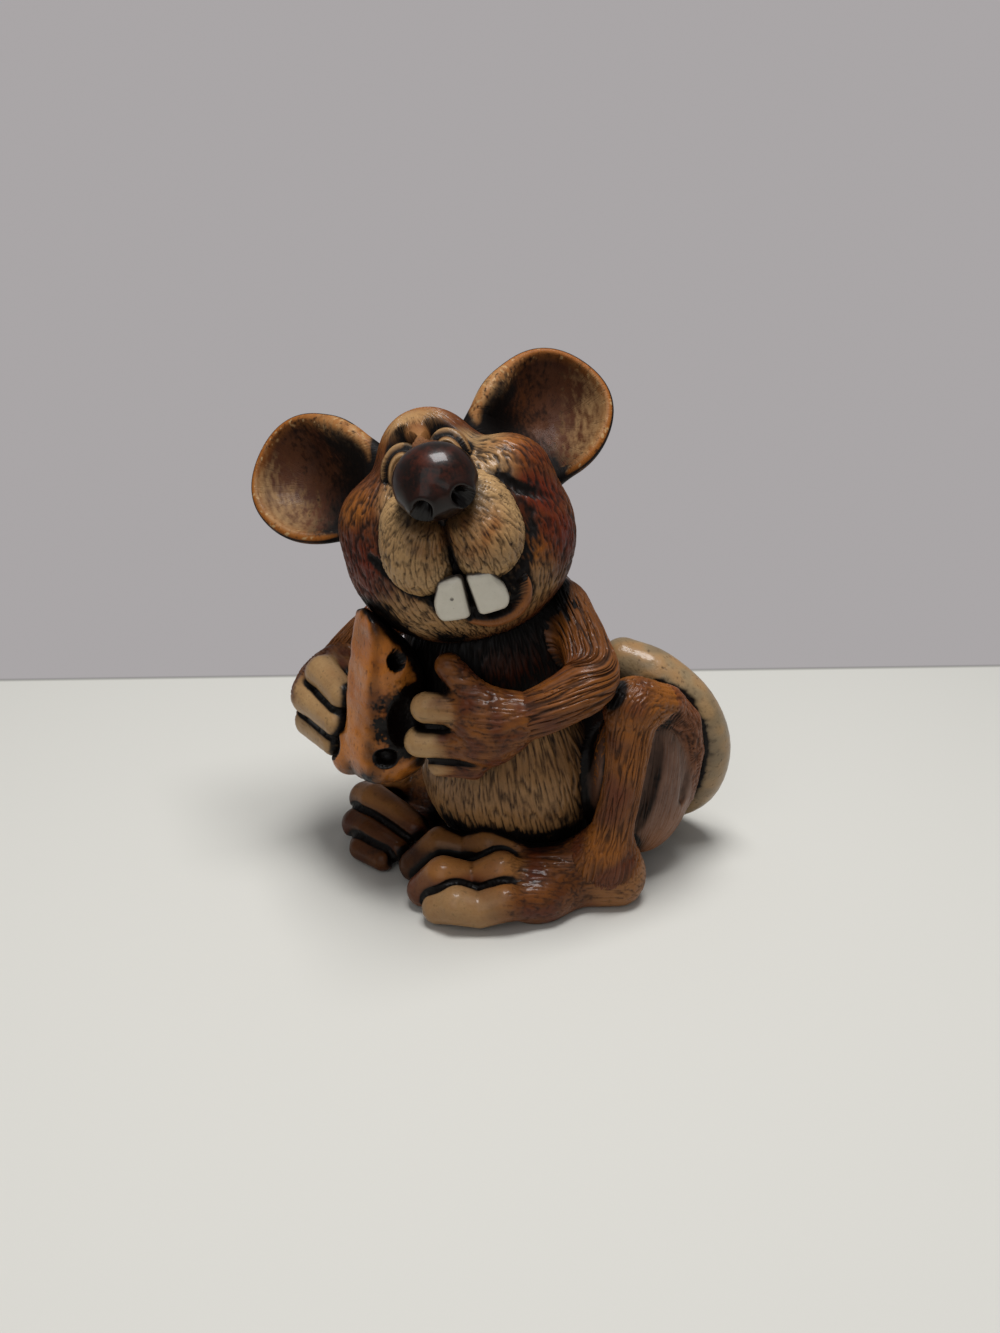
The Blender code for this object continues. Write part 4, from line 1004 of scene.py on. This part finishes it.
def hand_piece(side, sign, ahead, fingers, thumb, palm_shift, rubbed):
    """Palm, fingers and thumb under one skin."""
    ahead = unit(np.array(ahead, float))
    level = unit(np.array((ahead[0], ahead[1], 0)))
    outward = np.array((-level[1] * sign, level[0] * sign, 0))
    palm = WRISTS[side] + level * 3.25 + (0, -1.95, -1.44) + palm_shift
    axes = np.array((outward, ahead, np.cross(outward, ahead)))
    rods = [thumb, *fingers]

    def own(p):
        """Fingers meet each other in sharp clefts, and run into the palm in round ones."""
        apart = np.sort(np.stack([rod(p, *one) for one in rods[1:]]), axis=0)
        together = apart[0] + 0.6 * (1 - ramp(apart[1] - apart[0], 0.0, 1.3))
        palm_mass = melt(ball((p - palm) @ axes.T, (0, 0, 0), PALM_RADII), rod(p, *rods[0]), 2.0)
        return melt(palm_mass, together, 1.6)

    def whole(p):
        """The hand run into the arm, and under the arm's fur where the fillet ends."""
        alone = own(p)
        joined = melt(alone, arm_masses[side](p), 8.0)
        return np.maximum(joined + 0.5 * ramp(alone, 3.0, 6.0), alone - 6.0)

    shells = [cast(whole, [palm - (0, 0, 2), palm + (0, 0, 2)], 6, 80, 120, ahead)[0]]
    for one in rods:
        shells.append(cast(lambda p, r=one: rod(p, *r) - 0.3, [one[0], one[1]], 3, 40, 40, outward)[0])
    spots, faces = remeshed(shells, HAND_GRAIN)
    spots, normals = settled(whole, spots)
    along = (spots - palm) @ ahead
    flow = ((spots - palm) @ axes.T / np.array((1.1, 1.1 * 14, 1.1)))[:, [0, 2, 1]]
    furry = 1 - 0.8 * ramp(along, rubbed[0] - 1, rubbed[0] + 5)
    groove = hair_lines(flow, 63, width=0.18) * furry
    spots = spots - normals * (groove * 0.24)[:, None]
    patch = noise(spots * 0.3, 81)
    between = np.sort(np.stack([rod(spots, *one) for one in fingers]), axis=0)
    # Near-black painted shade in the clefts between the fingers.
    slot_shade = (1 - ramp(between[1], 0.6, 1.9)) * ramp(along, -2, 1)
    return piece(
        side + "_hand", "paw_ochre", paw_ochre, spots, normals, faces.tolist(), flow * 0.7, groove, own,
        cream=ramp(along + 5 * patch, *rubbed) * 0.85 * ramp(rod(spots, *thumb), 0.5, 2.0), soot=slot_shade,
        ochre=ramp(patch, -0.2, 0.3) * 0.45, red=ramp(-patch, 0.0, 0.4) * 0.3,
    )


paw_ochre = glazed("paw_ochre", (0.125, 0.039, 0.008), (0.070, 0.018, 0.005), hair=0.6, grime=1.1)
for side, hand in HANDS.items():
    hand_piece(side, **hand)

# Feet
# Long smooth feet that lie flat: three toes with knuckles standing up at both ends, slots between
# them painted black as shade, and a heel that the shin's fur runs onto.
FOOT_GRAIN = 0.38
HEELS = {"left": np.array((31.8, 2, 0.0)), "right": np.array((-32.5, 2, 0.0))}
FEET = {
    "left": (49, -37, 1.0, (
        ([(-1.2, -23, 10.2), (-2.4, -28, 11.8), (-3.8, -33.5, 9.2), (-5.2, -39.4, 9.6), (-5.2, -45.4, 4.2)],
         [4.0, 4.5, 3.7, 4.4, 3.8]),
        ([(5, -22, 8), (5.4, -25.5, 10), (4.6, -31.5, 7.2), (5.4, -38.2, 8.6), (4, -42.8, 3.9)],
         [4.0, 4.5, 3.7, 4.4, 3.7]),
        ([(10.6, -21, 5.6), (11.4, -24.4, 6.4), (12.2, -30, 4.6), (11.8, -35, 5.6), (10.2, -39, 3.7)],
         [3.8, 4.3, 3.8, 4.3, 3.6]),
    )),
    "right": (41, 22, 0.0, (
        ([(-3.1, -22.5, 8), (-6, -31, 8.4), (-2.2, -32.4, 9.8), (5.1, -33.3, 8.8), (11.6, -34.4, 7.5)],
         [4.3, 4.0, 3.9, 3.5, 3.3]),
        ([(-2.8, -26.9, 6), (-3.9, -36.8, 4.8), (1, -38.6, 5.4), (6.5, -39.6, 4.8), (10.6, -40, 4.2)],
         [4.0, 3.9, 3.5, 3.3, 3.0]),
        ([(-1.9, -37.1, 3.2), (1.8, -42.6, 2.9), (8.9, -43.6, 2.8)], [3.0, 2.9, 2.7]),
    )),
}
foot_masses = {}


def foot_piece(side, reach, toe_in, rubbed, toes):
    """Heel, sole, instep and toes under one skin, flat below, its toes rubbed cream or not."""
    heel = HEELS[side]
    axes = np.array(Matrix.Rotation(math.radians(toe_in), 3, "Z")).T

    def own(p):
        """Toes meet in sharp clefts, and run into the instep in round ones."""
        f = (p - heel) @ axes.T
        whole = rod(f, (0, 0, 5.2), (0.5, -reach * 0.35, 5.2), 6.1, 6.4)
        whole = melt(whole, ball(f, (0, -5.0, 8.6), (6.1, 10.5, 7.6)), 3)
        whole = melt(whole, ball(f, (2.5, -reach * 0.37, 5.0), (10.6, reach * 0.2, 7.6)), 4)
        whole = melt(whole, ball(f, (2.0, -reach * 0.6, 2.0), (9.5, reach * 0.2, 4.5)), 2)
        apart = np.sort(np.stack([path(f, *one) for one in toes]), axis=0)
        cleft = (1 - ramp(apart[1] - apart[0], 0.0, 1.5)) * ramp(-f[..., 1], 22, 27)
        return melt(whole, apart[0], 1.4) + 0.7 * cleft

    to_body = lambda f: np.asarray(f, float) @ axes + heel
    shells = [cast(own, to_body([(0, 1, 6), (1, -reach * 0.42, 5)]), 6, 70, 70, (0, 0, 1))[0]]
    for line, radii in toes:
        one = lambda p, a=line, b=radii: path((p - heel) @ axes.T, a, np.add(b, 0.2))
        shells.append(cast(one, to_body(line), 3.6, 60, 40, (0, 0, 1))[0])
    spots, faces = remeshed(shells, FOOT_GRAIN)
    spots, normals = settled(own, spots)
    f = (spots - heel) @ axes.T
    flow = (f / np.array((1.0, 11.0, 1.0)))[:, [0, 2, 1]]
    furry = (1 - ramp(-f[:, 1], 22, 27)) * ramp(f[:, 2], 1.5, 4.0)
    groove = hair_lines(flow, 64, width=0.18) * np.maximum(furry, 0.15)
    spots = spots - normals * (groove * 0.14)[:, None]
    spots[:, 2] = np.maximum(spots[:, 2], 0)
    patch = noise(spots * 0.16, 96)
    nearest = np.stack([path(f, *one) for one in toes])
    # Painted light: near-black shade in the slots between the toes; darker shade over the near foot's inner
    # toe and all the far foot's toes, less on the knuckles; and the knuckles' tops paler in ochre and cream
    # as painted highlight.
    slot_shade = ramp(1.9 - np.sort(nearest, axis=0)[1], 0, 1.4) * ramp(-f[:, 1], 21, 25)
    knuckle_highlight = ramp(f[:, 2], 8.5, 12) * ramp(-f[:, 1], reach * 0.38, reach * 0.48)
    rub = ramp(-f[:, 1] + 3 * patch, reach * 0.44, reach * 0.66) * (1 - ramp(nearest[2], 0, 1.5)) * rubbed
    toe_shade = (0.6 * (1 - ramp(nearest[0], 0, 1.5)) * rubbed + 0.4 * (1 - rubbed)) * (1 - 0.55 * knuckle_highlight)
    at_heel = 1 - ramp(-f[:, 1] + 3 * patch, 2, 10)
    piece(
        side + "_foot", "paw_ochre", foot_ochre, spots, normals, faces.tolist(), flow * 0.7, groove,
        own, cream=most(rub * 0.65, 0.25 * knuckle_highlight, 0.2 * at_heel),
        ochre=most(knuckle_highlight, 0.7 * at_heel, ramp(patch, -0.2, 0.3) * 0.3),
        red=ramp(-patch, 0.0, 0.35) * 0.5,
        soot=np.maximum(slot_shade * (0.85 + 0.4 * patch), toe_shade * ramp(-f[:, 1], 22, 27)),
    )
    foot_masses[side] = own


foot_ochre = glazed(
    "foot_ochre", (0.110, 0.032, 0.006), (0.055, 0.013, 0.003), hair=0.6, roughness=0.4, coat=0.22, grime=0.9
)
for side, foot in FEET.items():
    foot_piece(side, *foot)

# Hind legs
# Each haunch is a flat oval against the belly, and a narrow shin stands before it, arches into it
# over the knee, and leaves a slot between them, painted dark as shade. The shin's fur fans out onto the heel.
THIGH_RADII = (8, 14, 21)
THIGH_LEAN = math.radians(8)
LEG_LINE = [
    (31.4, -1, 13.0), (32.3, 2, 29.8), (30.2, 5.5, 45.5), (31.0, 14, 44.6), (30.8, 20.5, 38.5),
    (29.6, 24, 29.5), (28.0, 24, 18.5),
]
ARCH_RADII = [4.8, 4.4, 3.6, 3.2, 2.6]
leg_line, leg_sizes = smooth_line(LEG_LINE, [4.9, 4.3, 5.7, *ARCH_RADII[1:]])


def leg_flow(m):
    """Hairs up the shin, over the knee and down the arch: the side and height off the nearest spot of
    that line, and how far along it the spot is."""
    run, best = np.zeros(m.shape[:-1]), np.full(m.shape[:-1], 1e6)
    height, total = np.zeros(m.shape[:-1]), 0.0
    for a, b in zip(leg_line, leg_line[1:]):
        span = length(b - a)
        along = (b - a) / span
        reach = np.clip((m - a) @ along, 0, span)
        off = m - a - reach[..., None] * along
        closer = length(off) < best
        best = np.where(closer, length(off), best)
        run = np.where(closer, total + reach, run)
        height = np.where(closer, off @ np.array((0, along[2], -along[1])), height)
        total += span
    return np.stack([m[..., 0] / 0.8, height / 0.8, run / 12.0], axis=-1)


def leg_paints(p):
    """Ochre down the front of the shin, darker and redder behind."""
    patch = noise(p * 0.12, 91)
    return {"ochre": ramp(patch, -0.3, 0.25) * 0.8, "red": ramp(-patch, 0.05, 0.4) * 0.4}


def haunch_paints(p, m, on_arch):
    """Ochre low down, rust on the arch, bare brown between, near-black painted shade in the slot and by the
    belly.
    """
    patch = noise(p * 0.15, 92)
    low = 1 - ramp(p[..., 2] + 6 * patch, 10, 24)
    slot = 1 - ramp(path(m, SLOT_LINE, SLOT_RADII), 0.2, 1.4)
    inner = (1 - ramp(m[..., 0], 23.0, 28.0)) * (1 - ramp(m[..., 1], 8, 16))
    soot = np.maximum(0.3 * slot, inner)
    return {"ochre": np.maximum(low * 0.5, on_arch * 0.7), "red": on_arch * 0.4, "soot": soot}


SLOT_LINE = [(34.6, 12.0, 43.2), (34.6, 9.8, 36.5), (34.6, 7.8, 27.4), (34.0, 5.6, 17.2)]
SLOT_RADII = [1.2, 2.8, 3.2, 3.2]
haunch_glaze = glazed("haunch_rust", (0.165, 0.078, 0.045), (0.090, 0.037, 0.021), hair=0.55)
for side, sign in SIDES:
    thigh_centre = np.array((sign * 26, 13.5, 26.0))
    thigh_turn = np.array(Matrix.Rotation(THIGH_LEAN, 3, "X"))
    mirror = np.array((sign, 1, 1))

    def thigh(p, centre=thigh_centre, turn=thigh_turn, mirror=mirror):
        """A tall flat ellipsoid that leans back, an arch over from the knee, and the slot."""
        m = p * mirror
        whole = ball((p - centre) @ turn, (0, 0, 0), THIGH_RADII)
        whole = melt(whole, path(m, [(29.8, 7, 46.0), *LEG_LINE[3:]], ARCH_RADII), 2.4)
        whole = carve(whole, path(m, SLOT_LINE, SLOT_RADII), 1.0)
        inner = [(35.0, 13.4, 42.0), (35.0, 18.0, 36.0), (34.4, 20.0, 29.5), (33.0, 19.5, 20.0)]
        return carve(whole, path(m, inner, [1.4, 1.6, 1.5, 0.8]), 1.6)

    thigh_line = thigh_centre + np.array([(0, -1.1, -8), (0, 1.1, 8)])
    grid, aim, angle, place = cast(on_torso(thigh), thigh_line, 11, 170, 320, (0, 1, 0))
    own_flow = round_flow(angle, place, 11, 1.15, 12)
    on_arch = 1 - ramp(path(grid * mirror, leg_line[10:], leg_sizes[10:]), 0.2, 1.8)
    groove = hair_lines(own_flow, 93, width=0.18) * 0.3 * (1 - on_arch)
    groove = groove + hair_lines(leg_flow(grid * mirror), 94, width=0.16) * on_arch
    grid, normals = pressed(grid, aim, groove * 0.26)
    flow = np.where((on_arch > 0.5)[..., None], leg_flow(grid * mirror), own_flow)
    grid[..., 2] = np.maximum(grid[..., 2], 0)
    grid_piece(
        side + "_thigh", "fur_rust", haunch_glaze, grid, normals, flow, groove, thigh,
        **haunch_paints(grid, grid * mirror, on_arch),
    )
    ankle, middle, knee = (np.array(place) * mirror for place in LEG_LINE[:3])
    line, sizes = smooth_line([knee, middle, ankle], [5.7, 4.3, 4.9])

    def shin(p, line=line, sizes=sizes):
        """The shin alone."""
        return path(p, line, sizes)

    def joined(p, shin=shin, thigh=thigh, foot=foot_masses[side]):
        """The shin run into the foot below, and over the knee into the arch."""
        alone = shin(p)
        below = melt(alone, foot(p), 5.5) + 0.4 * ramp(alone, 2.0, 4.4)
        above = melt(alone, thigh(p), 0.3 + 5.0 * ramp(p[..., 2], 39, 45))
        return np.maximum(np.minimum(below, above), alone - 4.4)

    grid, aim, _, _ = cast(joined, line, 5, 220, 240, (0, 1, 0))
    flow = leg_flow(grid * mirror)
    groove = hair_lines(flow, 94, width=0.16)
    grid, normals = pressed(grid, aim, groove * 0.3)
    grid_piece(side + "_shin", "fur_rust", limb_rust, grid, normals, flow, groove, shin, **leg_paints(grid))

# Tail
# A thick smooth roll that comes round from the rump and curls up against the haunch. Cream, with a
# ragged near-black edge on the side that faces the haunch, partly dark wash and partly painted shade.
TAIL_POINTS = [
    (0, 27, 7), (13, 31.5, 8), (22.5, 33.3, 15), (26, 33, 26.5), (23.5, 29.6, 36.8), (16.5, 24.6, 43.4),
    (9.5, 20.5, 45.6),
]
TAIL_RADII = [6.0, 5.8, 5.5, 5.4, 5.5, 5.6, 5.2]
tail_line, tail_sizes = smooth_line(TAIL_POINTS, TAIL_RADII)


def tail_mass(p):
    """The curl alone."""
    return path(p, tail_line, tail_sizes)


grid, aim, _, _ = cast(on_torso(tail_mass), tail_line, 5, 240, 150, (-0.3, 1, 0.2))
normals = facing(grid, aim)
grid[..., 2] = np.maximum(grid[..., 2], 0)
patch = noise(grid * 0.25, 98)
toward_haunch = ball(grid, (26, 13.5, 26.0), (8, 14, 21)) + 3.0 * noise(grid * (0.5, 0.5, 1.1), 99)
ragged_wash_and_shade = 1 - ramp(toward_haunch + 2.5 * patch, 0.9, 3.6)
tail_glaze = glazed("tail_cream", (0.25, 0.18, 0.10), (0.155, 0.105, 0.058), 0.9, 0.36, 0.3, 0.6)
grid_piece(
    "tail", "tail_cream", tail_glaze, grid, normals, grid * 0.4,
    ramp(noise(grid * 1.3, 97), 0.33, 0.42) * 0.8, tail_mass, soot=ragged_wash_and_shade * 0.9,
    cream=ramp(patch, -0.3, 0.2) * 0.55,
    ochre=ramp(grid[..., 2], 38, 46) * ramp(patch, -0.1, 0.3) * 0.5,
)

# Wash and shade in the hollows
# When the paint is dry the whole figurine is brushed with thin dark stain, which stays where brush and
# rag can't reach: between the limbs, under the chin, round the teeth and in the bowls of the ears. The
# near-black painted there by how hidden each point is stands for that stain and also for painted shade.
WASH_AND_SHADE_REACHES = ((0.7, 0.55), (2.0, 0.45), (5.0, 0.45))


def enclosed(points, normals):
    """How hidden each point is: at a few steps out along its normal, the share of the step by which
    the nearest mass is nearer than open air would be."""
    total = np.zeros(len(points))
    for reach, weight in WASH_AND_SHADE_REACHES:
        probe = points + normals * reach
        nearest = np.full(len(probe), reach)
        for mass, low, high in masses:
            close = ((probe > low - reach) & (probe < high + reach)).all(axis=1)
            if close.any():
                nearest[close] = np.minimum(nearest[close], mass(probe[close]))
        total += weight * np.clip(1 - nearest / reach, 0, 1.4)
    return total


for made, points, normals in pieces:
    # The whisker pads take only part of this stain and painted shade.
    share = 0.6 if "whisker_pad" in made.name else 1.0
    wash_and_shade = share * ramp(enclosed(points, normals), 0.1, 0.7)
    attribute = made.data.attributes.new("wash_and_shade", "FLOAT", "POINT")
    attribute.data.foreach_set("value", wash_and_shade.astype(np.float32))

# Table and wall
# A pale table top and, past its far edge, a plain grey wall, as a studio sweep in two tones.
TABLE_EDGE = 0.098
VIEW_TURN = math.radians(55)
TABLE_TWIST = math.radians(2)
WALL_GREY = (0.40, 0.38, 0.385, 1)


def stage_paint():
    """Off-white table, and grey beyond its edge."""
    sheet = Sheet("table_and_wall")
    beyond = sheet.add("ShaderNodeSeparateXYZ", {}, {"Vector": sheet.place}, "Y") - TABLE_EDGE
    past = (beyond * 1500.0).kept()
    seam = (1.0 - abs(beyond * 700.0)).kept() * 0.5
    black = (0, 0, 0, 1)
    return sheet.finish({
        "Base Color": sheet.blend(seam, sheet.blend(past, (0.60, 0.59, 0.55, 1), black), black),
        "Roughness": 0.6,
        "Specular IOR Level": 0.0,
        "Emission Color": sheet.blend(seam, sheet.blend(past, black, WALL_GREY), black),
        "Emission Strength": 1.0,
    })


floor_mesh = bpy.data.meshes.new("table")
floor_mesh.from_pydata([(-4, -4, 0), (4, -4, 0), (4, 4, 0), (-4, 4, 0)], [], [(0, 1, 2, 3)])
floor_mesh.materials.append(stage_paint())
floor = bpy.data.objects.new("table", floor_mesh)
floor.rotation_euler = (0, 0, VIEW_TURN + TABLE_TWIST)
bpy.context.scene.collection.objects.link(floor)

# Light and camera
# One wide soft lamp high over the table, a weaker one from the front, and a pale room all round.
LAMPS = (("over", (0.04, -0.01, 0.62), 0.26, 3.8), ("front", (0.35, -0.45, 0.45), 0.5, 0.7))
for name, place, width, power in LAMPS:
    lamp = bpy.data.lights.new(name, "AREA")
    lamp.size = width
    lamp.energy = power
    holder = bpy.data.objects.new(name, lamp)
    holder.location = place
    holder.rotation_euler = (Vector((0, 0, 0.05)) - Vector(place)).to_track_quat("-Z", "Y").to_euler()
    bpy.context.scene.collection.objects.link(holder)
world = bpy.data.worlds.new("room")
world.use_nodes = True
nodes, links = world.node_tree.nodes, world.node_tree.links
seen = nodes.new("ShaderNodeLightPath")
tint = nodes.new("ShaderNodeMix")
tint.data_type = "RGBA"
tint.inputs[6].default_value = (0.19, 0.19, 0.195, 1)
tint.inputs[7].default_value = WALL_GREY
links.new(seen.outputs["Is Camera Ray"], tint.inputs[0])
links.new(tint.outputs[2], nodes["Background"].inputs["Color"])
bpy.context.scene.world = world
bpy.context.scene.view_settings.view_transform = "Standard"

CAMERA_PLACE = (0.20291, -0.14412, 0.1567)
CAMERA_DROP = math.radians(24)
camera = bpy.data.objects.new("camera", bpy.data.cameras.new("camera"))
camera.data.lens = 36 * 1200 / 1333
camera.data.sensor_width = 36
camera.location = CAMERA_PLACE
camera.rotation_euler = (math.pi / 2 - CAMERA_DROP, 0, VIEW_TURN)
bpy.context.scene.collection.objects.link(camera)
bpy.context.scene.camera = camera
